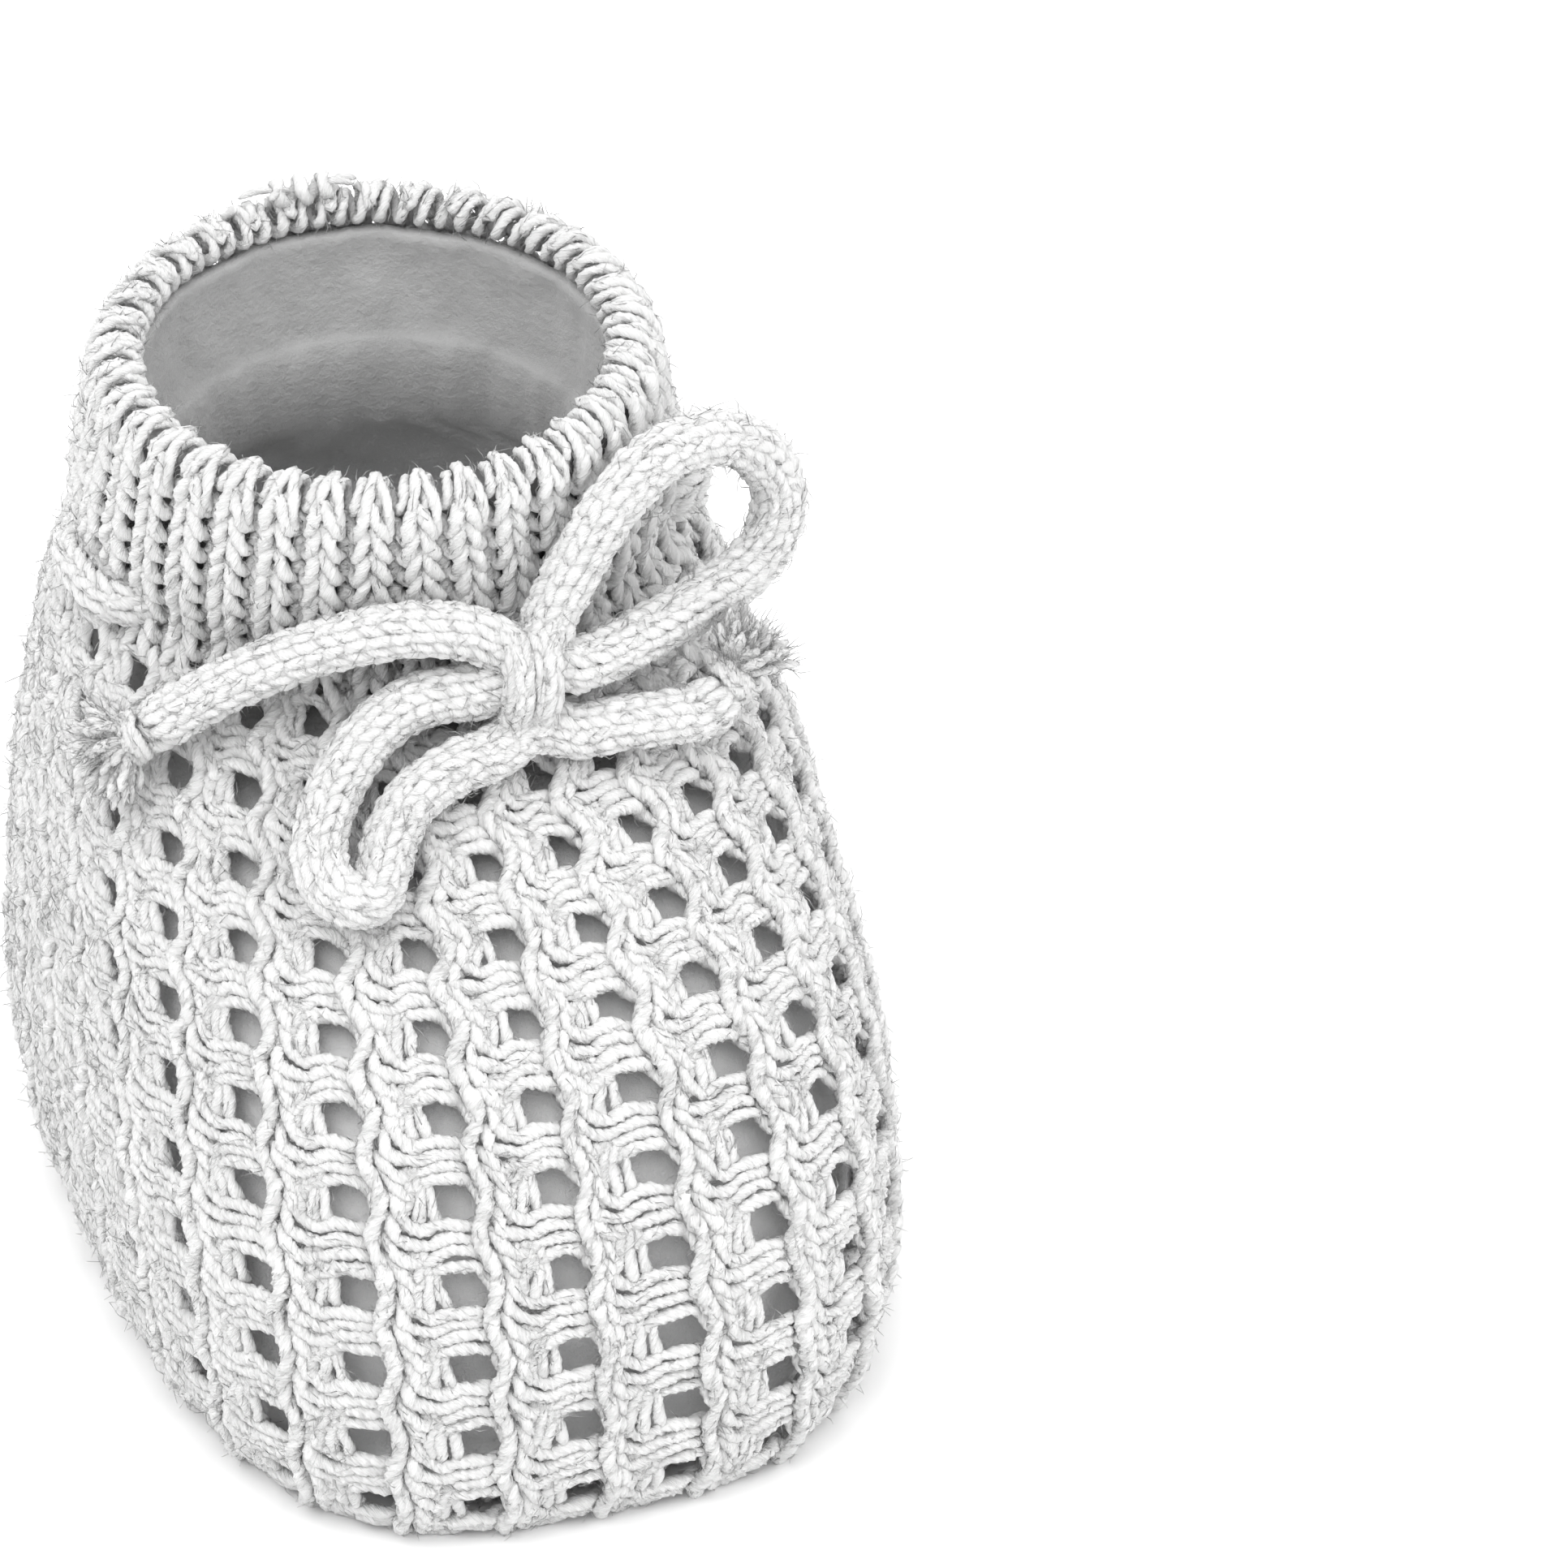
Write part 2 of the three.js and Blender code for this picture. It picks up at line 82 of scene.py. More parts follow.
def level(column, t):
    """A smooth curve through one column of LEVELS, for an array of levels t."""
    k = COLUMNS.index(column)
    knots = LEVELS[:, 0]
    values = LEVELS[:, k]
    slopes = np.diff(values) / np.diff(knots)
    tangents = np.concatenate([slopes[:1], (slopes[:-1] + slopes[1:]) / 2, slopes[-1:]])
    i = np.clip(np.searchsorted(knots, t, side="left") - 1, 0, len(knots) - 2)
    width = knots[i + 1] - knots[i]
    s = (t - knots[i]) / width
    return (
        (2 * s**3 - 3 * s**2 + 1) * values[i]
        + (s**3 - 2 * s**2 + s) * width * tangents[i]
        + (3 * s**2 - 2 * s**3) * values[i + 1]
        + (s**3 - s**2) * width * tangents[i + 1]
    )


def foot_point(angle, t):
    """A point of the foot's outer face. angle is 0 at the toe and a quarter turn at +X."""
    cos, sin = np.cos(angle), np.sin(angle)
    full = np.minimum(t / 0.5, 1)
    square = np.where(cos > 0, 2 + (TOE_SQUARENESS - 2) * full, 2 + (HEEL_SQUARENESS - 2) * full)
    side_y, side_z = level("sideY", t), level("sideZ", t)
    end_y = np.where(cos > 0, level("frontY", t), level("backY", t))
    front_z, back_z = level("frontZ", t), level("backZ", t)
    x = level("halfWidth", t) * np.sign(sin) * np.abs(sin) ** (2 / square)
    y = side_y + (end_y - side_y) * np.abs(cos) ** (2 / square)
    z = side_z + (front_z - back_z) / 2 * cos + ((front_z + back_z) / 2 - side_z) * cos * cos
    return np.stack([x, y, z], -1)


def cuff_point(angle, t):
    """A point of the cuff's outer face, from the rim (t 0) to the ankle (t 1), drawn in at the band."""
    def mix(key):
        return CUFF_TOP[key] + (ANKLE[key] - CUFF_TOP[key]) * t

    z = mix("z") + 0 * angle
    waist = BAND_INSET * np.exp(-(((z - WAIST_Z) / WAIST_REACH) ** 2))
    x = (mix("halfWidth") - waist) * np.sin(angle)
    y = OPENING_Y - (mix("halfLength") - waist) * np.cos(angle)
    return np.stack([x, y, z], -1)


def lerp_rows(new, old, values):
    """Interpolates each column of values from its own knots in old to the same number of new ones."""
    out = np.empty((len(new), values.shape[1]))
    for m in range(values.shape[1]):
        out[:, m] = np.interp(new * old[-1, m], old[:, m], values[:, m])
    return out


class Skin:
    """A face of the bootie laid out for stitches: u runs once round it from the heel, over the left
    side, toe and right side, and v runs down it, both in even steps of length."""

    def __init__(self, point, t_end=np.ones_like, crowd=0.0, rows=160, columns=960):
        """t_end gives the level at which each angle ends, and crowd narrows the columns at the toe."""
        angles = np.linspace(-math.pi, math.pi, 2 * columns + 1)
        middle = (angles[1:] + angles[:-1]) / 2
        weight = 1 + crowd * np.cos(middle)
        steps = np.linspace(0, 1, rows + 1)
        around = np.linspace(0, 1, columns + 1)
        angle = np.empty((rows + 1, columns + 1))
        for k, step in enumerate(steps):
            ring = point(angles, step * t_end(angles))
            length = np.linalg.norm(np.diff(ring, axis=0), axis=1) * weight
            share = np.concatenate([[0], np.cumsum(length)])
            angle[k] = np.interp(around, share / share[-1], angles)
        t = steps[:, None] * t_end(angle)
        grid = point(angle, t)
        drops = np.linalg.norm(np.diff(grid, axis=0), axis=2)
        run = np.concatenate([np.zeros((1, columns + 1)), np.cumsum(drops, 0)])
        angle = lerp_rows(steps, run, angle)
        t = lerp_rows(steps, run, t)
        self.grid = point(angle, t)
        self.length = run[-1]
        self.rows, self.columns = rows, columns
        along = np.gradient(self.grid, axis=1) * columns
        along[:, 0] = along[:, -1] = (self.grid[:, 1] - self.grid[:, -2]) / 2 * columns
        drop = np.gradient(self.grid, axis=0) * rows
        out = np.cross(drop, along)
        self.normal = out / np.linalg.norm(out, axis=2, keepdims=True)
        self.around = np.linalg.norm(along, axis=2)

    def sample(self, field, u, v):
        """The value of one of the face's fields at (u, v), between its grid's points."""
        x = np.mod(u, 1) * self.columns
        y = np.clip(v, 0, 1) * self.rows
        i = np.minimum(x.astype(int), self.columns - 1)
        j = np.minimum(y.astype(int), self.rows - 1)
        fx, fy = x - i, y - j
        if field.ndim == 3:
            fx, fy = fx[..., None], fy[..., None]
        top = field[j, i] * (1 - fx) + field[j, i + 1] * fx
        low = field[j + 1, i] * (1 - fx) + field[j + 1, i + 1] * fx
        return top * (1 - fy) + low * fy

    def at(self, u, v, lift):
        """Points at (u, v), lifted off the face; v may run a little past either end."""
        p = self.sample(self.grid, u, v) + self.sample(self.normal, u, v) * lift[..., None]
        past = v - np.clip(v, 0, 1)
        back = 0.02  # the slope at an end is taken over this share of the face
        inside = self.sample(self.grid, u, np.where(past < 0, back, 1 - back))
        edge = self.sample(self.grid, u, np.clip(v, 0, 1))
        return p + np.where(past[..., None] != 0, (edge - inside) / back * np.abs(past)[..., None], 0)


def foot_end(angle):
    """The level t at which the foot's knitting ends above the sole seam."""
    low, high = np.zeros_like(angle), np.ones_like(angle)
    for _ in range(30):
        mid = (low + high) / 2
        above = foot_point(angle, mid)[..., 2] > WALL_FOOT
        low, high = np.where(above, mid, low), np.where(above, high, mid)
    return low


foot = Skin(foot_point, foot_end, crowd=0.14)
cuff = Skin(cuff_point, rows=60)

# ---- yarn ----
PLY_PITCH = 6.0  # length of yarn in which its two plies turn once round each other
FIBRE_R = 0.045  # radius of a stray fibre
FUZZ = 1.4  # stray fibres for each mm of yarn
PLIES = np.array([1.06, 1.02, 0.74, 1.02, 1.06, 1.02, 0.74, 1.02])  # round the yarn, two grooves


def spline(points, per_span):
    """Catmull-Rom curves through arrays of points (..., n, d), sampled per_span times a span."""
    before = 2 * points[..., :1, :] - points[..., 1:2, :]
    after = 2 * points[..., -1:, :] - points[..., -2:-1, :]
    p = np.concatenate([before, points, after], -2)
    a, b, c, d = p[..., :-3, :], p[..., 1:-2, :], p[..., 2:-1, :], p[..., 3:, :]
    slope, bend, swing = c - a, 2 * a - 5 * b + 4 * c - d, 3 * b - a - 3 * c + d
    samples = []
    for k in range(per_span):
        s = k / per_span
        samples.append(0.5 * (2 * b + slope * s + bend * s**2 + swing * s**3))
    curve = np.stack(samples, -2)
    curve = curve.reshape(*curve.shape[:-3], -1, curve.shape[-1])
    return np.concatenate([curve, points[..., -1:, :]], -2)


def unit(v):
    """The vectors v at length 1."""
    return v / np.maximum(np.linalg.norm(v, axis=-1, keepdims=True), 1e-9)


def moving_frames(curves):
    """Two unit vectors across each point of the curves (m, n, 3), carried along without twisting."""
    tangent = unit(np.gradient(curves, axis=1))
    aside = np.array([0.31, 0.52, 0.79])  # a direction that no yarn starts along
    side = unit(np.cross(tangent[:, 0], aside))
    sides = np.empty_like(curves)
    for k in range(curves.shape[1]):
        side = unit(side - tangent[:, k] * np.sum(side * tangent[:, k], -1, keepdims=True))
        sides[:, k] = side
    return sides, np.cross(tangent, sides)


class Yarn:
    """Collects lengths of yarn and makes one mesh of them."""

    def __init__(self):
        self.points, self.faces, self.along, self.around = [], [], [], []
        self.count = 0

    def add(self, curves, radius, taper=False, section=PLIES, rough=0.07):
        """Lays yarn along curves (m, n, 3); radius is one number or one for each of their points."""
        curves = curves if curves.ndim == 3 else curves[None]
        m, n, _ = curves.shape
        sides = len(section)
        across, over = moving_frames(curves)
        steps = np.linalg.norm(np.diff(curves, axis=1), axis=2)
        run = np.concatenate([np.zeros((m, 1)), np.cumsum(steps, 1)], 1)
        phase = TAU * run[..., None] / PLY_PITCH + random.uniform(0, TAU, (m, 1, 1))
        turn = TAU * np.arange(sides) / sides + phase
        thick = np.broadcast_to(np.asarray(radius, float), (m, n))[..., None]
        if taper:
            to_end = np.minimum(np.arange(n), np.arange(n)[::-1])
            ends = np.sqrt(np.clip(to_end / 2.0, 0.12, 1))
            thick = thick * ends[None, :, None]
        lobes = thick * section * random.normal(1, rough, (m, n, sides))
        ring = across[..., None, :] * (lobes * np.cos(turn))[..., None]
        ring = ring + over[..., None, :] * (lobes * np.sin(turn))[..., None]
        self.points.append((curves[..., None, :] + ring).reshape(-1, 3))
        base = self.count + (np.arange(m)[:, None, None] * n + np.arange(n - 1)[None, :, None]) * sides
        k = np.arange(sides)[None, None, :]
        nxt = (k + 1) % sides
        quads = np.stack([base + k, base + nxt, base + nxt + sides, base + k + sides], -1)
        self.faces.append(quads.reshape(-1, 4))
        first = base[:, 0, 0]
        for k in range(sides // 2 - 1):
            cap = np.array([k, k + 1, sides - 2 - k, sides - 1 - k])
            self.faces.append(first[:, None] + cap[::-1])
            self.faces.append(first[:, None] + (n - 1) * sides + cap)
        self.along.append(np.repeat((run + random.uniform(0, 50, (m, 1))).reshape(-1), sides))
        self.around.append(np.tile(np.arange(sides) / sides, m * n))
        self.count += m * n * sides

    def fuzz(self, curves, radius, per_mm):
        """Stray fibres standing off lengths of yarn."""
        m, n, _ = curves.shape
        total = np.linalg.norm(np.diff(curves, axis=1), axis=2).sum()
        count = int(total * per_mm)
        i, j = random.integers(0, m, count), random.integers(1, n - 1, count)
        along = unit(curves[i, j + 1] - curves[i, j - 1])
        out = unit(np.cross(along, random.normal(0, 1, (count, 3))))
        aside = np.cross(along, out)
        lean = along * random.choice([-1, 1], (count, 1)) + aside * random.normal(0, 0.5, (count, 1))
        lean = unit(lean)
        long = random.uniform(0.6, 2.2, (count, 1))
        rise = random.uniform(0.1, 0.9, (count, 1)) * radius
        start = curves[i, j] + out * radius * 0.8
        s = np.array([0, 0.5, 1.0])
        hair = start[:, None] + lean[:, None] * (long * s)[..., None]
        hair = hair + out[:, None] * (rise * np.sin(s * 2.4))[..., None]
        hair = hair + aside[:, None] * (random.normal(0, 0.35, (count, 1)) * s**2)[..., None]
        hair = hair[hair[..., 2].min(axis=1) > FIBRE_R * 2]  # none runs into the floor
        self.add(hair, FIBRE_R * np.array([1.0, 0.9, 0.4]), section=np.ones(4))

    def mesh(self, name, material, replaces):
        """Makes the piece, flattened where it would reach below the floor."""
        points = np.concatenate(self.points) * MM
        points[:, 2] = np.maximum(points[:, 2], 0)
        faces = np.concatenate(self.faces)
        data = bpy.data.meshes.new(name)
        data.vertices.add(len(points))
        data.vertices.foreach_set("co", points.ravel())
        data.loops.add(faces.size)
        data.loops.foreach_set("vertex_index", faces.ravel())
        data.polygons.add(len(faces))
        data.polygons.foreach_set("loop_start", np.arange(len(faces)) * 4)
        data.update(calc_edges=True)
        data.polygons.foreach_set("use_smooth", np.ones(len(faces), bool))
        twist = data.attributes.new("yarn", "FLOAT_VECTOR", "POINT")
        along, around = np.concatenate(self.along), np.concatenate(self.around) * TAU
        wound = np.stack([np.cos(around), np.sin(around), along], -1)
        twist.data.foreach_set("vector", wound.astype(np.float32).ravel())
        return place(bpy.data.objects.new(name, data), material, replaces)


def place(obj, material, replaces):
    """Adds a piece to the scene, riding on the bootie."""
    bpy.context.scene.collection.objects.link(obj)
    obj.data.materials.append(material)
    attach(obj, "root")
    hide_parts(*replaces)
    return obj


# ---- materials ----
def fabric(name, colour, sheen=0.25):
    """A matt white fabric that lets a little light through its fibres."""
    material = bpy.data.materials.new(name)
    material.use_nodes = True
    shader = material.node_tree.nodes["Principled BSDF"]
    shader.inputs["Base Color"].default_value = (*colour, 1)
    shader.inputs["Roughness"].default_value = 0.9
    shader.inputs["Specular IOR Level"].default_value = 0.2
    shader.inputs["Sheen Weight"].default_value = sheen
    shader.inputs["Sheen Roughness"].default_value = 0.5
    shader.inputs["Subsurface Weight"].default_value = 0.3
    shader.inputs["Subsurface Radius"].default_value = (1.0, 1.0, 1.0)
    shader.inputs["Subsurface Scale"].default_value = 0.0007
    return material, material.node_tree, shader


def yarn_material(name, light, shade):
    """Soft spun yarn: fine fibres running along it and wound round it with its twist."""
    material, tree, shader = fabric(name, light)
    new, link = tree.nodes.new, tree.links.new
    yarn = new("ShaderNodeAttribute")
    yarn.attribute_name = "yarn"
    wind = new("ShaderNodeMapping")
    wind.inputs["Scale"].default_value = (1.0, 1.0, 0.22)
    twist = new("ShaderNodeVectorRotate")
    twist.rotation_type = "Z_AXIS"
    split = new("ShaderNodeSeparateXYZ")
    turn = new("ShaderNodeMath")
    turn.operation = "MULTIPLY"
    turn.inputs[1].default_value = -TAU / PLY_PITCH
    link(yarn.outputs["Vector"], split.inputs[0])
    link(split.outputs["Z"], turn.inputs[0])
    link(yarn.outputs["Vector"], twist.inputs["Vector"])
    link(turn.outputs[0], twist.inputs["Angle"])
    link(twist.outputs[0], wind.inputs["Vector"])
    fibres = new("ShaderNodeTexNoise")
    fibres.inputs["Scale"].default_value = 2.4
    fibres.inputs["Detail"].default_value = 5.0
    fibres.inputs["Roughness"].default_value = 0.62
    link(wind.outputs[0], fibres.inputs["Vector"])
    raised = new("ShaderNodeBump")
    raised.inputs["Strength"].default_value = 1.0
    raised.inputs["Distance"].default_value = 0.0005
    link(fibres.outputs["Fac"], raised.inputs["Height"])
    link(raised.outputs[0], shader.inputs["Normal"])
    # painted shade: the yarn takes the shade tone in the hollows of the fibre bump and the light tone on
    # its ridges
    light_and_shade_tone = new("ShaderNodeMix")
    light_and_shade_tone.data_type = "RGBA"
    light_and_shade_tone.inputs["A"].default_value = (*shade, 1)
    light_and_shade_tone.inputs["B"].default_value = (*light, 1)
    ramp = new("ShaderNodeMapRange")
    ramp.inputs["From Min"].default_value = 0.32
    ramp.inputs["From Max"].default_value = 0.55
    link(fibres.outputs["Fac"], ramp.inputs["Value"])
    link(ramp.outputs[0], light_and_shade_tone.inputs["Factor"])
    link(light_and_shade_tone.outputs["Result"], shader.inputs["Base Color"])
    return material


# how light the lining is at each share of the bootie's height: painted light and shade, lighter deep in
# the foot against its shadow, darkest on the ankle ledge that the light falls on, and a little lighter
# again under the rim against its shadow
LINING_PAINTED_LIGHT = [(0.0, 0.95), (0.5, 0.92), (0.68, 0.62), (0.80, 0.43), (0.94, 0.50)]


def fleece_material(name):
    """A brushed lining of short matted fibres; its grey is painted lighter deep in the foot, against the
    shadow there, and darker up at the ankle ledge, where the light falls.
    """
    material, tree, shader = fabric(name, (0.6, 0.6, 0.6), sheen=0.4)
    new, link = tree.nodes.new, tree.links.new
    where = new("ShaderNodeTexCoord")
    fibres = new("ShaderNodeTexNoise")
    fibres.inputs["Scale"].default_value = 950.0
    fibres.inputs["Detail"].default_value = 6.0
    fibres.inputs["Roughness"].default_value = 0.7
    link(where.outputs["Object"], fibres.inputs["Vector"])
    raised = new("ShaderNodeBump")
    raised.inputs["Strength"].default_value = 0.9
    raised.inputs["Distance"].default_value = 0.0005
    link(fibres.outputs["Fac"], raised.inputs["Height"])
    link(raised.outputs[0], shader.inputs["Normal"])
    place_in = new("ShaderNodeSeparateXYZ")
    link(where.outputs["Object"], place_in.inputs[0])
    share = new("ShaderNodeMath")
    share.operation = "DIVIDE"
    share.inputs[1].default_value = HEIGHT * MM
    link(place_in.outputs["Z"], share.inputs[0])
    # painted light and shade: the lining's grey set by height, against the shadow deep in the foot and
    # under the rim and the light on the ankle ledge
    painted_light_ramp = new("ShaderNodeValToRGB")
    ramp = painted_light_ramp.color_ramp
    for _ in LINING_PAINTED_LIGHT[2:]:
        ramp.elements.new(0.5)
    for element, (at, light_and_shade_tone) in zip(ramp.elements, LINING_PAINTED_LIGHT):
        element.position = at
        element.color = (light_and_shade_tone, light_and_shade_tone, light_and_shade_tone, 1)
    link(share.outputs[0], painted_light_ramp.inputs["Fac"])
    matting = new("ShaderNodeTexNoise")
    matting.inputs["Scale"].default_value = 160.0
    matting.inputs["Detail"].default_value = 4.0
    link(where.outputs["Object"], matting.inputs["Vector"])
    mottle = new("ShaderNodeMapRange")
    mottle.inputs["To Min"].default_value = 0.84
    mottle.inputs["To Max"].default_value = 1.10
    link(matting.outputs["Fac"], mottle.inputs["Value"])
    shown = new("ShaderNodeVectorMath")
    shown.operation = "SCALE"
    link(painted_light_ramp.outputs["Color"], shown.inputs["Vector"])
    link(mottle.outputs[0], shown.inputs["Scale"])
    link(shown.outputs[0], shader.inputs["Base Color"])
    return material


# each yarn's second tone is painted shade for the hollows between its fibres
knit_white = yarn_material("knit yarn", (0.97, 0.97, 0.965), (0.91, 0.91, 0.905))
cord_white = yarn_material("cord yarn", (0.97, 0.97, 0.965), (0.92, 0.92, 0.915))
lining_grey = fleece_material("brushed lining")

# ---- camera ----
VIEW_FROM = (-17.0, 38.0)  # azimuth from the toe towards -X, and elevation, in degrees
AIM = (0.0345, 0.0111, 0.0265)
DISTANCE = 2.5
FRAME_WIDTH = 0.1351  # width seen at the bootie
SENSOR = 36


def aim_camera():
    """A long lens from the toe's left, looking down on the bootie."""
    turn, rise = (math.radians(a) for a in VIEW_FROM)
    towards = Vector((math.sin(turn) * math.cos(rise), -math.cos(turn) * math.cos(rise), math.sin(rise)))
    data = bpy.data.cameras.new("camera")
    data.sensor_width = SENSOR
    data.lens = SENSOR * DISTANCE / FRAME_WIDTH
    camera = bpy.data.objects.new("camera", data)
    camera.location = Vector(AIM) + towards * DISTANCE
    camera.rotation_euler = towards.to_track_quat("Z", "Y").to_euler()
    bpy.context.scene.collection.objects.link(camera)
    bpy.context.scene.camera = camera


aim_camera()


# ---- knitting ----
def wobble(shape, size, smooth=3):
    """Soft random unevenness for a grid of stitches."""
    noise = random.normal(0, 1, shape)
    for axis in (0, 1):
        for _ in range(smooth):
            noise = (noise + np.roll(noise, 1, axis)) / 2
    return noise / noise.std() * size


# The lace of the foot: each column is one knit stitch and an open panel of two, and every fourth
# row has an eyelet at the panel's right.
LACE_COLUMNS = 26
LACE_ROWS = 44
REPEAT = 4
HOLE_ROW = 0.5  # row of the repeat at which the eyelet's middle is
HOLE_X = 0.75  # and the share of the column's width
HOLE_REACH = 2.2  # distance, in mm, over which yarn is pushed away from it
BUNDLE = 0.71  # rows of the panel are drawn together to this share of their spacing
# left leg, hidden turn, right leg: (mm from the left leg, rows down, mm up, mm radius)
KNIT_STITCH = np.array(
    [
        [-0.08, 0.92, 0.42, 0.64],
        [0.00, 0.15, 0.80, 0.68],
        [0.14, -0.52, 0.74, 0.66],
        [0.50, -0.82, 0.00, 0.50],
        [0.98, -0.70, 0.08, 0.50],
        [1.46, -0.12, 0.46, 0.66],
        [2.05, 0.44, 0.34, 0.66],
    ]
)
# strand across the panel: (share of the panel's width, rows down from its own middle, mm up, radius)
PANEL_STRAND = np.array(
    [
        [0.20, 0.18, 0.16, 0.64],
        [0.50, -0.16, 0.30, 0.66],
        [0.80, -0.04, 0.06, 0.64],
        [0.97, 0.20, -0.55, 0.58],
    ]
)
PANEL_START = 2.4  # mm from the left leg
SWAY = 0.40  # how far the eyelets push the ribs aside, in mm
DRAWN_COLUMN = 8.0  # width of the column, in mm, that the stitches above are drawn for
DRAWN_ROW = 1.6  # and the height of its rows


def lace_scale(column, row):
    """Width of a column and height of a row, in mm, where they are on the foot."""
    u, v = column / LACE_COLUMNS + 0.0 * row, (row + 0.5) / LACE_ROWS + 0.0 * column
    width = foot.sample(foot.around, u, v) / LACE_COLUMNS
    length = np.interp(np.mod(u, 1) * foot.columns, np.arange(foot.columns + 1), foot.length)
    return width, length / LACE_ROWS


def stitch_fit(width):
    """How much wider or narrower than drawn the stitches are in a column of this width."""
    return np.clip(width / DRAWN_COLUMN, 0.72, 1.12)


def lace_point(column, row, x, y, z, push=0.62):
    """Maps millimetres across a column and rows down it onto the foot, and opens the eyelets."""
    width, height = lace_scale(column, row)
    down = row + y
    nearest = np.round((down - HOLE_ROW) / REPEAT) * REPEAT + HOLE_ROW
    for side in (0, -1):  # the eyelet of this column, and the one of the column before it
        dx = x - (side + HOLE_X) * width
        dy = (down - nearest) * height
        away = np.sqrt(dx**2 + (0.85 * dy) ** 2) + 1e-6
        size = push * np.exp(-((away / HOLE_REACH) ** 2)) * np.minimum(1, away / 0.5)
        x = x + dx / away * size
        y = y + dy / away * size / height
    return foot.at((column + x / width) / LACE_COLUMNS, (row + 0.5 + y) / LACE_ROWS, z)


def lace_controls():
    """Control points of every course of the foot, with the yarn's radius: (row, column, point, 4)."""
    rows = np.arange(LACE_ROWS)[:, None, None]
    columns = np.arange(LACE_COLUMNS)[None, :, None]
    grid = (LACE_ROWS, LACE_COLUMNS)
    width, height = lace_scale(columns, rows)
    fit = stitch_fit(width)
    phase = np.mod(rows - 1, REPEAT)  # 0 to 3 down the bundle between two eyelets
    drawn = (phase - 1.5) * (BUNDLE - 1)
    sway = SWAY * (2.0 - 1.3 * rows / LACE_ROWS)  # the ribs zigzag more near the ankle
    x, y, z, r = [], [], [], []
    for right, down, lift, radius in KNIT_STITCH:
        from_hole = rows + down - HOLE_ROW
        x.append(fit * right + sway * np.cos(TAU * from_hole / REPEAT))
        y.append(down + 0 * fit)
        z.append(lift + 0 * fit)
        r.append(radius + 0 * fit)
    start = PANEL_START * fit
    for share, down, lift, radius in PANEL_STRAND:
        x.append(start + (width - start - 0.35) * share)
        y.append(down + 0.42 + drawn + 0 * fit)
        z.append(lift + 0 * fit)
        r.append(radius + 0 * fit)
    x, y, z, r = (np.concatenate(part, 2) for part in (x, y, z, r))
    x = x + wobble(grid, 0.10)[..., None] + random.normal(0, 0.05, x.shape)
    y = y + wobble(grid, 0.06)[..., None] + random.normal(0, 0.04, x.shape)
    z = z + wobble(grid, 0.10)[..., None] + random.normal(0, 0.05, x.shape)
    r = r * np.clip(height / DRAWN_ROW, 0.8, 1.05) * (1 + wobble(grid, 0.05)[..., None])
    r = r * (1 + random.normal(0, 0.06, r.shape))
    points = lace_point(columns, rows, x, y, z)
    return np.concatenate([points, r[..., None]], -1)


# legs of the decrease beside each eyelet: share of the panel at their top and foot, mm up, mm radius
FAN = [
    (0.02, -0.20, 0.02, 0.54),
    (0.14, 0.00, 0.20, 0.64),
    (0.26, 0.20, 0.28, 0.64),
    (0.38, 0.44, 0.10, 0.56),
]


def lace_fan(yarn, columns):
    """The decrease beside each eyelet: legs that fan out between one bundle and the next."""
    rows = np.arange(0, LACE_ROWS, REPEAT)[:, None, None]
    cols = np.asarray(columns)[None, :, None]
    width, _ = lace_scale(cols, rows)
    start = PANEL_START * stitch_fit(width)
    for top, low, lift, radius in FAN:
        share = np.array([top, top, (top + low) / 2, low, low])
        down = np.array([-1.0, -0.45, 0.5, 1.35, 1.9])  # rows, from behind one bundle to behind the next
        up = np.array([-0.35, 0.05, lift, 0.0, -0.45])
        x = start + (width - start - 1.0) * share + random.normal(0, 0.16, (rows.size, len(columns), 5))
        y = down + random.normal(0, 0.07, x.shape)
        z = up + random.normal(0, 0.05, x.shape)
        points = lace_point(cols, rows, x, y, z, push=0.1)
        legs = spline(points.reshape(-1, 5, 3), 4)
        yarn.add(legs, radius)
        yarn.fuzz(legs, radius, FUZZ)


# each piece of the foot: its columns of lace and the CAD node it stands for
SECTIONS = {
    "knit_heel": ((23, 29), "heel_panel"),
    "knit_side_left": ((3, 8), "lace_side_left"),
    "knit_vamp": ((8, 18), "lace_vamp"),
    "knit_side_right": ((18, 23), "lace_side_right"),
}


def knit_foot():
    """The foot's lace in four pieces that meet between two columns."""
    controls = lace_controls()
    for name, ((first, last), node) in SECTIONS.items():
        columns = [c % LACE_COLUMNS for c in range(first, last)]
        part = controls[:, columns].reshape(LACE_ROWS, -1, 4)
        after = controls[:, last % LACE_COLUMNS, :1]
        courses = spline(np.concatenate([part, after], 1), 3)
        path, radius = courses[..., :3], courses[..., 3]
        yarn = Yarn()
        yarn.add(path, radius)
        yarn.fuzz(path, 0.55, FUZZ)
        lace_fan(yarn, columns)
        yarn.mesh(name, knit_white, (node,))


# The cuff: one rib of knit stitches and a sunk groove, all the way round.
RIBS = 36
CUFF_ROWS = 9
CUFF_YARN_R = 0.66
# (share of the rib's width, rows down, mm up)
RIB_STITCH = np.array(
    [
        [0.13, 0.66, 0.10],
        [0.165, 0.12, 0.50],
        [0.235, -0.42, 0.42],
        [0.34, -0.74, -0.20],
        [0.45, -0.56, 0.15],
        [0.55, -0.05, 0.52],
        [0.665, 0.45, 0.30],
        [0.76, 0.62, -0.55],
        [0.87, 0.10, -0.95],
        [0.98, 0.55, -0.65],
    ]
)


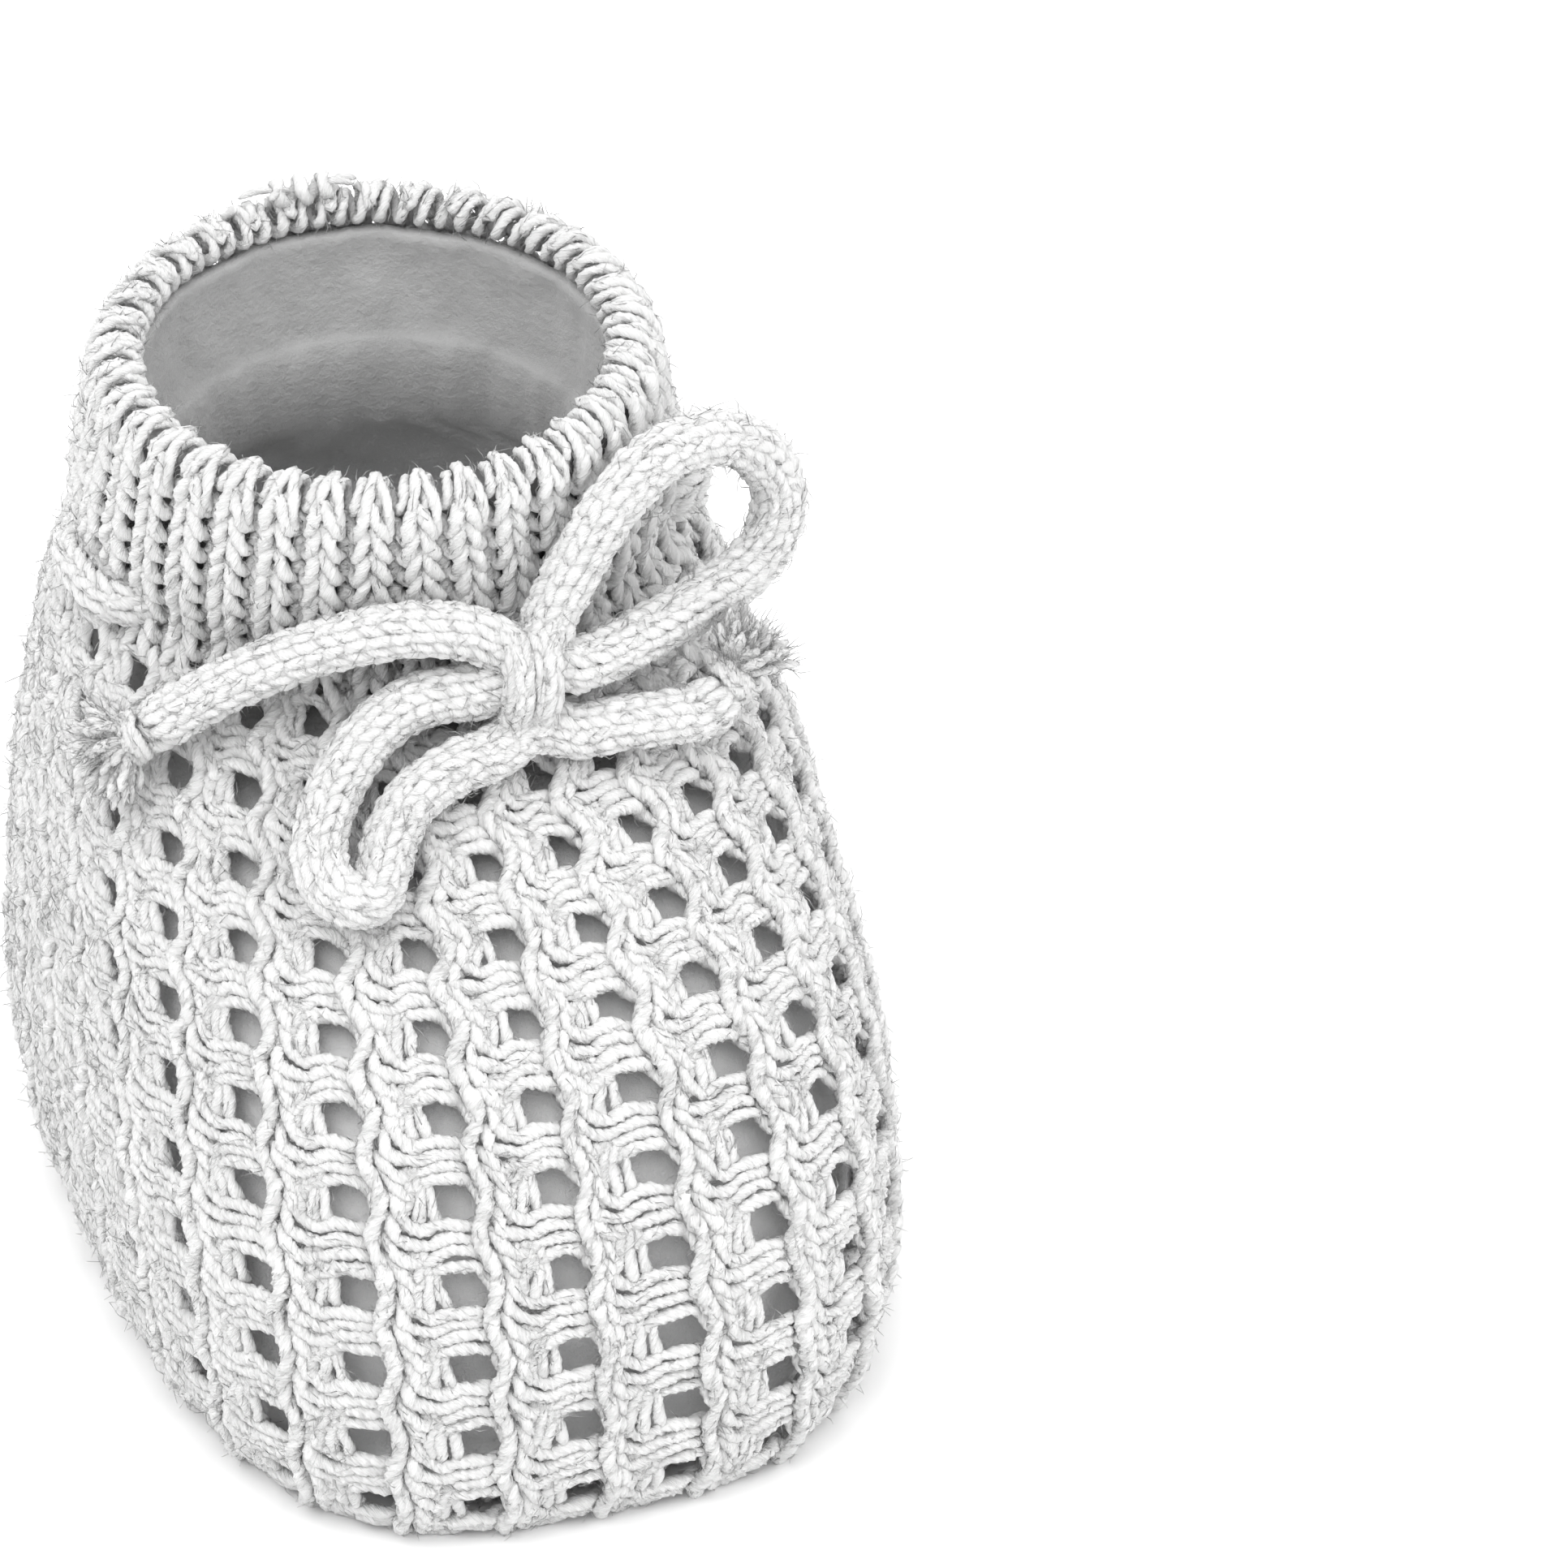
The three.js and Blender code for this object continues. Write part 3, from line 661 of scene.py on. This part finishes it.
def knit_cuff():
    """The cuff and, from the row where the eyelets are, the band below it."""
    rows = np.arange(CUFF_ROWS)[:, None, None]
    ribs = np.arange(RIBS)[None, :, None]
    grid = (CUFF_ROWS, RIBS)
    x, y, z = (RIB_STITCH[None, None, :, k] + np.zeros((*grid, 1)) for k in range(3))
    x = x + wobble(grid, 0.03)[..., None] + random.normal(0, 0.01, x.shape)
    y = y + wobble(grid, 0.06)[..., None] + random.normal(0, 0.03, x.shape)
    z = z + wobble(grid, 0.08)[..., None] + random.normal(0, 0.04, x.shape)
    points = cuff.at((ribs + x) / RIBS, (rows + 0.7 + y) / (CUFF_ROWS + 0.1), z)
    course = points.reshape(CUFF_ROWS, -1, 3)
    band_from = int(round((CUFF_TOP["z"] - BAND_TOP) / (CUFF_TOP["z"] - ANKLE_Z) * CUFF_ROWS))
    for name, part, node in (
        ("knit_cuff", course[:band_from], "ribbed_cuff"),
        ("knit_band", course[band_from:], "eyelet_band"),
    ):
        yarn = Yarn()
        courses = spline(np.concatenate([part, part[:, :1]], 1), 3)
        yarn.add(courses, CUFF_YARN_R)
        yarn.fuzz(courses, CUFF_YARN_R, FUZZ)
        yarn.mesh(name, knit_white, (node,))


def rim_frame(u):
    """Middle of the rim's section at u, and the direction out from it."""
    out = unit(cuff.sample(cuff.normal, u, 0 * u) * LEVEL)
    return cuff.sample(cuff.grid, u, 0 * u) - out * RIM["across"], out


RIM_YARN_R = 0.52
# a rib's yarn over the rim: (share of the rib's width, mm out, mm up)
RIM_CAP = np.array(
    [
        [0.13, 2.30, -2.8],
        [0.17, 2.40, -1.2],
        [0.24, 2.05, 0.4],
        [0.33, 1.00, 1.32],
        [0.42, -0.40, 1.50],
        [0.50, -1.40, 1.10],
        [0.56, -0.25, 1.42],
        [0.63, 1.05, 1.20],
        [0.70, 2.10, 0.2],
        [0.71, 2.35, -1.3],
        [0.70, 2.20, -2.6],
    ]
)


def knit_rim():
    """The rim: a loop of yarn capping each rib, and a rope of stitches rolled round the edge."""
    yarn = Yarn()
    turns = 2 * RIBS
    per_turn = 14
    k = np.arange(turns * per_turn + 1)
    u = k / (turns * per_turn)
    turn = TAU * k / per_turn
    middle, out = rim_frame(u)
    size = 1 + 0.05 * np.sin(7 * TAU * u) + random.normal(0, 0.012, u.size)
    inset = 0.6  # the rope's middle line from the rim's outside
    rope = middle + out * ((RIM["across"] - inset) * size * np.cos(turn))[:, None]
    rope = rope + UP * ((RIM["up"] - inset) * size * np.sin(turn))[:, None]
    yarn.add(rope, RIM_YARN_R)
    yarn.fuzz(rope[None], RIM_YARN_R, FUZZ)
    u = (np.arange(RIBS)[:, None] + RIM_CAP[None, :, 0]) / RIBS + random.normal(0, 0.0006, (RIBS, 1))
    middle, out = rim_frame(u)
    jitter = random.normal(0, 0.07, (RIBS, len(RIM_CAP), 2))
    loops = middle + out * (RIM_CAP[None, :, 1] + jitter[..., 0])[..., None]
    loops = loops + UP * (RIM_CAP[None, :, 2] + jitter[..., 1])[..., None]
    loops = spline(loops, 4)
    yarn.add(loops, RIM_YARN_R)
    yarn.fuzz(loops, RIM_YARN_R, FUZZ)
    yarn.mesh("knit_rim", knit_white, ("rim_edge",))


# ---- sole and seams ----
def under_ring(u, inset, z):
    """A ring inside the foot of the knitting, under the bootie, and the direction out from it."""
    edge = foot.sample(foot.grid, u, 1 + 0 * u) * LEVEL
    out = unit(foot.sample(foot.normal, u, 1 + 0 * u) * LEVEL)
    return edge - out * inset + UP * z, out


def whip(yarn, middle, out, over, radius, turns, thickness, start=0.0):
    """Slanting stitches wound round a line."""
    turn = TAU * turns * np.linspace(0, 1, len(middle)) + start
    wound = middle + out * (radius * np.cos(turn))[:, None] + over * (radius * np.sin(turn))[:, None]
    yarn.add(wound, thickness)
    yarn.fuzz(wound[None], thickness, FUZZ)


def sole_seam():
    """The bead of stitches that joins the foot to the sole."""
    yarn = Yarn()
    stitches = 120
    u = np.linspace(0, 1, stitches * 10 + 1)
    middle, out = under_ring(u, KNIT + GAP + SEAM_R, GAP + SEAM_R)
    over = np.broadcast_to(UP, out.shape)
    whip(yarn, middle, out, over, 0.72, stitches, 0.5)
    yarn.mesh("sole_seam_stitches", knit_white, ("sole_seam",))


def back_seam():
    """Whip stitches down the back of the cuff and heel, and a sparser yarn crossing them."""
    yarn = Yarn()
    share = np.linspace(0, 1, 60)
    lift = 0 * share + 0.9
    top = cuff.at(0 * share, 0.12 + 0.88 * share, lift)
    low = foot.at(0 * share, share * 0.93, lift)
    line = np.concatenate([top, low[1:]])
    run = np.concatenate([[0], np.cumsum(np.linalg.norm(np.diff(line, axis=0), axis=1))])
    even = np.linspace(0, run[-1], 420)
    line = np.stack([np.interp(even, run, line[:, k]) for k in range(3)], -1)
    tangent = unit(np.gradient(line, axis=0))
    side = np.broadcast_to(np.array([1.0, 0, 0]), line.shape)
    over = unit(np.cross(side, tangent))
    whip(yarn, line, side, over, 0.85, run[-1] / 2.1, 0.52)
    whip(yarn, line, side * 0.9, over * 0.7, 0.85, -run[-1] / 4.2, 0.42, 1.0)
    yarn.mesh("back_seam_stitches", knit_white, ("back_seam",))


def grid_mesh(name, rows):
    """A smooth mesh over rings of points in millimetres, open at the first ring and the last."""
    rows = np.asarray(rows)
    n, m, _ = rows.shape
    i, j = np.meshgrid(np.arange(n - 1), np.arange(m), indexing="ij")
    nxt = (j + 1) % m
    faces = np.stack([i * m + j, i * m + nxt, (i + 1) * m + nxt, (i + 1) * m + j], -1).reshape(-1, 4)
    data = bpy.data.meshes.new(name)
    data.from_pydata((rows.reshape(-1, 3) * MM).tolist(), [], faces.tolist())
    data.polygons.foreach_set("use_smooth", np.ones(len(faces), bool))
    return bpy.data.objects.new(name, data)


LINING_TOP = 74.7
LINING = 1.0  # thickness
BESIDE_KNIT = KNIT + GAP  # the lining's outside face, from the outside of the foot
BESIDE_CORD = 2 * GAP + BAND + HELD_CORD_D  # and where it passes behind the held cord
LINING_CENTRE = np.array([0.0, -2.0, 0.0])


def lining_profile():
    """The rings of the lining's outside face from its top: the skin it follows, v, and its inset."""
    profile = []
    for z in np.linspace(LINING_TOP, 58.0, 19):
        waist = np.clip(1 - (z - 61.5) / 11.0, 0, 1)
        waist = waist * waist * (3 - 2 * waist)
        v = (CUFF_TOP["z"] - z) / (CUFF_TOP["z"] - ANKLE_Z)
        profile.append((cuff, v, BESIDE_KNIT + (BESIDE_CORD - BESIDE_KNIT) * waist))
    for v in np.linspace(0.02, 0.93, 40):
        waist = np.clip(1 - v / 0.2, 0, 1)
        profile.append((foot, v, BESIDE_KNIT + (BESIDE_CORD - BESIDE_KNIT) * waist + 1.6 * v**6))
    return profile


def floor_rings(edge, z):
    """Rings that close the lining's floor, from its centre out to the edge ring."""
    flat = (edge - LINING_CENTRE) * LEVEL
    return [LINING_CENTRE + flat * share + UP * z for share in (0.02, 0.4, 0.8, 0.96)]


def make_lining():
    """The lining: a soft cup, outside face up from its floor, over its top edge and down inside."""
    around = np.arange(240) / 240
    profile = lining_profile()
    uneven = wobble((len(profile), len(around)), 0.14, 7)
    outside, inside = [], []
    for k, (skin, v, inset) in enumerate(profile):
        outside.append(skin.at(around, v + 0 * around, -inset + uneven[k]))
        inside.append(skin.at(around, v + 0 * around, -(inset + LINING) + uneven[k]))
    outside.reverse()
    floor_z = SOLE_TOP + GAP
    under = floor_rings(outside[0], floor_z)
    over = floor_rings(inside[-1], floor_z + LINING)[::-1]
    rows = under + outside + inside + over
    return place(grid_mesh("lining_fleece", rows), lining_grey, ("lining",))


SOLE_RIDGE = 2.6  # from one garter ridge to the next
SOLE_STITCH = 2.4  # from one stitch of a ridge to the next
SOLE_RELIEF = 0.35  # depth of the knitting
SOLE_CENTRE = np.array([0.0, -3.0, 0.0])


def make_sole():
    """The sole: a knitted sheet in garter rows, turned up at its edge."""
    around = np.arange(360) / 360
    edge, _ = under_ring(around, KNIT + 2 * GAP + 2 * SEAM_R, 0.0)
    shares = np.concatenate([np.linspace(0.02, 0.955, 90), [0.975, 0.988, 0.992, 0.985]])
    heights = np.concatenate([np.zeros(90), [0.15, 0.6, 1.5, 2.5]])
    rows = [SOLE_CENTRE + (edge - SOLE_CENTRE) * share + UP * z for share, z in zip(shares, heights)]
    rows = np.array(rows)
    x, y = rows[..., 0], rows[..., 1]
    ridge = np.cos(TAU * y / SOLE_RIDGE)
    offset = 0.5 * (np.floor(y / SOLE_RIDGE) % 2)
    stitch = np.cos(TAU * (x / SOLE_STITCH + offset) + 0.6 * ridge)
    raised = 0.62 * (0.5 + 0.5 * ridge) + 0.38 * (0.5 + 0.5 * stitch)
    knitted = heights[:, None] < 0.1  # the turned-up edge is plain
    rows[..., 2] += SOLE_RELIEF * (1 - raised) * knitted
    return place(grid_mesh("sole_knit", rows), knit_white, ("sole",))


# ---- knitted cord ----
CORD_R = 2.5  # radius of the cord's outside
CORD_YARN_R = 0.64
CORD_END = 0.6  # rows of cord left at each end for the legs of the last stitches


def even_curve(points, step):
    """A smooth curve through given points, sampled at an even step."""
    fine = spline(np.array(points, float), 24)
    run = np.concatenate([[0], np.cumsum(np.linalg.norm(np.diff(fine, axis=0), axis=1))])
    n = max(int(round(run[-1] / step)), 2)
    even = np.linspace(0, run[-1], n + 1)
    return np.stack([np.interp(even, run, fine[:, k]) for k in range(3)], -1)


# one stitch round the cord: (share of the stitch's width, rows along, share of the tube's radius)
CORD_STITCH = np.array(
    [
        [0.06, 0.62, 0.82],
        [0.13, 0.05, 1.0],
        [0.24, -0.50, 0.95],
        [0.40, -0.80, 0.55],
        [0.56, -0.55, 0.85],
        [0.66, 0.0, 1.0],
        [0.80, 0.52, 0.88],
        [0.94, 0.82, 0.50],
    ]
)


def knit_cord(yarn, centre, radius=CORD_R, thickness=CORD_YARN_R, wales=6, row=1.8):
    """A knitted tube along a centreline, with a plain core: its columns of stitches, the wales, run
    along it, and row is the length of one stitch."""
    tube = radius - thickness
    run = np.concatenate([[0], np.cumsum(np.linalg.norm(np.diff(centre, axis=0), axis=1))])
    across, over = (v[0] for v in moving_frames(centre[None]))
    rows = int(round(run[-1] / row - 2 * CORD_END))
    row = run[-1] / (rows + 2 * CORD_END)
    stitches = np.arange(rows * wales)[:, None]
    share = (stitches + CORD_STITCH[None, :, 0]) / wales
    along = (CORD_END + stitches / wales + CORD_STITCH[None, :, 1]) * row
    along = np.clip(along + random.normal(0, 0.05, along.shape), 0, run[-1])
    deep = tube * CORD_STITCH[None, :, 2] + random.normal(0, 0.05, along.shape)
    turn = TAU * share
    at = [np.interp(along, run, centre[:, k]) for k in range(3)]
    side = [np.interp(along, run, across[:, k]) for k in range(3)]
    up = [np.interp(along, run, over[:, k]) for k in range(3)]
    at, side, up = (np.stack(v, -1) for v in (at, side, up))
    points = at + side * (deep * np.cos(turn))[..., None] + up * (deep * np.sin(turn))[..., None]
    strand = spline(points.reshape(-1, 3), 3)
    yarn.add(strand, thickness)
    yarn.fuzz(strand[None], thickness, FUZZ)
    yarn.add(centre, tube * 0.66, section=np.ones(8), rough=0)


# Routes of the free cord, each from the knot, as in the CAD source.
KNOT = np.array([4.4, -12.2, 62.0])
LOOP_LEFT = [
    (-0.3, -11.6, 61.3), (-4.4, -11.4, 61.2), (-8.4, -12.4, 60.2), (-11.8, -14.6, 58.4),
    (-14.6, -17.6, 56.4), (-16.2, -20.8, 54.2), (-15.8, -23.6, 52.4), (-13.0, -24.8, 51.6),
    (-11.4, -23.0, 52.7), (-9.6, -20.0, 54.5), (-6.6, -17.2, 55.9), (-2.4, -15.6, 56.8),
    (1.2, -14.8, 57.0),
]
LOOP_RIGHT = [
    (7.6, -9.9, 67.0), (10.4, -8.4, 70.4), (13.8, -6.2, 73.6), (18.2, -3.6, 75.8), (23.4, -1.0, 75.2),
    (28.0, 0.6, 72.4), (30.6, 0.8, 68.0), (30.0, -0.8, 64.2), (26.6, -3.4, 62.2), (21.0, -6.6, 62.0),
    (15.0, -9.8, 62.2), (9.2, -12.0, 62.4),
]
TAIL_LEFT = [
    (0.4, -10.8, 66.7), (-3.8, -9.9, 67.5), (-8.6, -8.8, 67.0), (-13.2, -7.2, 65.2), (-17.8, -5.6, 62.8),
    (-22.4, -4.6, 60.0), (-26.8, -3.8, 57.2),
]
TAIL_RIGHT = [
    (8.3, -14.2, 57.0), (12.0, -14.2, 57.0), (15.8, -14.0, 56.6), (19.4, -13.6, 56.2),
    (22.2, -12.6, 57.6),
]


def bow_cord(name, loop, tail, start, nodes):
    """One half of the tie cord: out of its eyelet, into the knot, round its loop, and its tail."""
    into_knot = (KNOT + np.array(loop[0])) / 2
    loop_to_tail = (np.array(loop[-1]) + np.array(tail[0])) / 2
    through_knot = loop_to_tail * 0.75 + KNOT * 0.25
    route = [start, tuple(into_knot), *loop, tuple(through_knot), *tail]
    centre = even_curve(route, 0.5)
    yarn = Yarn()
    knit_cord(yarn, centre)
    piece = yarn.mesh(name, cord_white, nodes)


TUFT_KNOT_R = 1.8
TUFT_STRANDS = 64
TUFT_SPREAD = 1.3  # angle of the outermost strands from the cord's direction
TUFT_FUZZ = 5.0
GOLDEN_ANGLE = 2.4  # radians from one strand to the next, which spreads them evenly


def end_tuft(name, tail, node, lean):
    """The knot at the cord's end and the frayed yarn past it, which leans one way."""
    tail = np.array(tail)
    way = unit(tail[-1] - tail[-2])
    side = unit(np.cross(way, [0, 0, 1.0]))
    up = np.cross(side, way)
    yarn = Yarn()
    k = np.linspace(0, 1, 60)
    turn = TAU * 3.0 * k
    ring = tail[-1] + way * (0.1 + 1.7 * k)[:, None]
    round_cord = side * np.cos(turn)[:, None] + up * np.sin(turn)[:, None]
    ring = ring + round_cord * TUFT_KNOT_R
    yarn.add(ring, 0.6)
    yarn.fuzz(ring[None], 0.6, 3.0)
    base = tail[-1] + way
    s = np.linspace(0, 1, 7)[:, None]
    for i in range(TUFT_STRANDS):
        spin = i * GOLDEN_ANGLE
        spread = math.sqrt((i + 0.5) / TUFT_STRANDS) * TUFT_SPREAD
        aside = side * math.cos(spin) + up * math.sin(spin)
        direction = unit(way * math.cos(spread) + aside * math.sin(spread) + lean)
        curl = (side * math.cos(spin * 1.7) + up * math.sin(spin * 1.7)) * random.uniform(0.3, 1.0)
        long = random.uniform(3.6, 6.2)
        strand = base + direction * s * long + curl * s**2 + up * 0.3 * np.sin(3 * s)
        strand = spline(strand, 2)
        yarn.add(strand, 0.5, taper=True)
        yarn.fuzz(strand[None], 0.5, TUFT_FUZZ)
    return yarn.mesh(name, cord_white, (node,))


STRAP_DEEP = 2.7  # from the knot's middle to the front of a turn
STRAP_HIGH = 3.75  # and to its top


def bow_knot():
    """Two turns of the cord, side by side, round the middle of the bow."""
    yarn = Yarn()
    for dx, start, stop in ((-1.15, -150, 165), (1.15, -165, 150)):
        a = np.radians(np.linspace(start, stop, 40))
        offset = [dx + 0.4 * np.sin(a), -STRAP_DEEP * np.cos(a), STRAP_HIGH * np.sin(a)]
        strap = KNOT + np.stack(offset, -1)
        knit_cord(yarn, even_curve(strap, 0.5), radius=1.6, thickness=0.55, wales=4, row=1.7)
    return yarn.mesh("bow_knot_cord", cord_white, ("bow_knot",))


SIDE_CROSSINGS = [math.radians(a) for a in (66, 96, 264, 294)]  # where it comes out or goes back in
SLANT = math.radians(7)  # half the turn that a crossing takes
HELD_Z = (BAND_TOP + ANKLE_Z + GAP + 0.4) / 2  # height of the cord's middle


def held_cord():
    """The cord round the ankle, behind the band but for one stretch on each side."""
    held_r = HELD_CORD_D / 2
    inner = BAND_INSET + BAND + GAP + held_r
    outer = BAND_INSET - GAP - held_r
    angle = np.radians(np.linspace(20, 356, 200))
    over = np.zeros_like(angle)
    for k, crossing in enumerate(SIDE_CROSSINGS):
        s = np.clip(((angle - crossing) / SLANT + 1) / 2, 0, 1)
        s = s * s * (3 - 2 * s)
        over = over + (s if k % 2 == 0 else -s)
    t = (CUFF_TOP["z"] - HELD_Z) / (CUFF_TOP["z"] - ANKLE_Z)
    half_w = CUFF_TOP["halfWidth"] + (ANKLE["halfWidth"] - CUFF_TOP["halfWidth"]) * t
    half_l = CUFF_TOP["halfLength"] + (ANKLE["halfLength"] - CUFF_TOP["halfLength"]) * t
    depth = inner + (outer - inner) * over
    normal = unit(np.stack([np.sin(angle) / half_w, -np.cos(angle) / half_l, 0 * angle], -1))
    ring = np.stack([half_w * np.sin(angle), OPENING_Y - half_l * np.cos(angle), HELD_Z + 0 * angle], -1)
    ring = ring - normal * depth[:, None]
    centre = even_curve(ring[::4], 0.6)
    yarn = Yarn()
    knit_cord(yarn, centre, radius=held_r + 0.5, thickness=0.6, wales=4, row=1.9)
    return yarn.mesh("held_cord", cord_white, ("tie_cord_ankle",))


def seam_knot():
    """The yarn ends knotted on the rim over the back seam."""
    yarn = Yarn()
    centre = np.array([-0.4, OPENING_Y + CUFF_TOP["halfLength"] - RIM["across"], HEIGHT + 0.9])
    k = np.linspace(0, 1, 48)
    turn = TAU * 2.6 * k
    wound = [-2.6 + 5.2 * k + 0.5 * np.cos(turn), np.cos(turn), 0.8 * np.sin(turn)]
    yarn.add(centre + np.stack(wound, -1), 0.6)
    s = np.linspace(0, 1, 6)[:, None]
    for way in ((-3.6, 0.8, -0.4), (-2.2, -1.6, 0.6), (2.8, -1.2, 0.5), (3.4, 0.9, -0.6)):
        start = centre + np.array([0.5 * way[0], 0, 0])
        arch = UP * np.sin(math.pi * s) * 0.5
        yarn.add(spline(start + np.array(way) * s + arch, 3), 0.3, taper=True)
    return yarn.mesh("seam_yarn_ends", knit_white, ("seam_end_knot",))


# ---- making it ----
LEFT_EYELET = (1.6, -7.2, 61.0)
RIGHT_EYELET = (7.2, -7.2, 61.0)

knot_piece = bow_knot()
tuft_left = end_tuft("tuft_left", TAIL_LEFT, "end_knot_left", np.array([-0.1, 0, 0.0]))
tuft_right = end_tuft("tuft_right", TAIL_RIGHT, "end_knot_right", np.array([0.0, 0, 0.9]))
bow_cord(
    "cord_left_loop", LOOP_LEFT, TAIL_RIGHT, RIGHT_EYELET,
    nodes=("bow_loop_left", "cord_tail_right"),
)
bow_cord(
    "cord_right_loop", LOOP_RIGHT, TAIL_LEFT, LEFT_EYELET,
    nodes=("bow_loop_right", "cord_tail_left"),
)
held_cord()
seam_knot()
make_lining()
make_sole()
sole_seam()
back_seam()
knit_rim()
knit_cuff()
knit_foot()


# ---- stage ----
def make_stage():
    """A plain pale floor."""
    data = bpy.data.meshes.new("floor")
    size = 1.5
    corners = [(-size, -size, 0), (size, -size, 0), (size, size, 0), (-size, size, 0)]
    data.from_pydata(corners, [], [(0, 1, 2, 3)])
    floor = bpy.data.objects.new("floor", data)
    bpy.context.scene.collection.objects.link(floor)
    material = bpy.data.materials.new("floor")
    material.use_nodes = True
    shader = material.node_tree.nodes["Principled BSDF"]
    shader.inputs["Base Color"].default_value = (0.96, 0.96, 0.96, 1)
    shader.inputs["Roughness"].default_value = 0.9
    data.materials.append(material)


def soft_light(name, at, size, power):
    """A round lamp turned to the bootie."""
    data = bpy.data.lights.new(name, "AREA")
    data.shape = "DISK"
    data.size = size
    data.energy = power
    light = bpy.data.objects.new(name, data)
    light.location = at
    away = Vector(at) - Vector((0, 0, 0.03))
    light.rotation_euler = away.to_track_quat("Z", "Y").to_euler()
    bpy.context.scene.collection.objects.link(light)


make_stage()
soft_light("key", (-0.3, -0.3, 0.85), 0.9, 5.2)
soft_light("fill", (0.6, -0.5, 0.5), 0.7, 1.8)
soft_light("back", (0.1, 0.7, 0.6), 0.6, 1.8)
world = bpy.data.worlds.new("studio")
bpy.context.scene.world = world
world.use_nodes = True
world.node_tree.nodes["Background"].inputs["Color"].default_value = (1, 1, 1, 1)
world.node_tree.nodes["Background"].inputs["Strength"].default_value = 0.98
bpy.context.scene.view_settings.view_transform = "Standard"
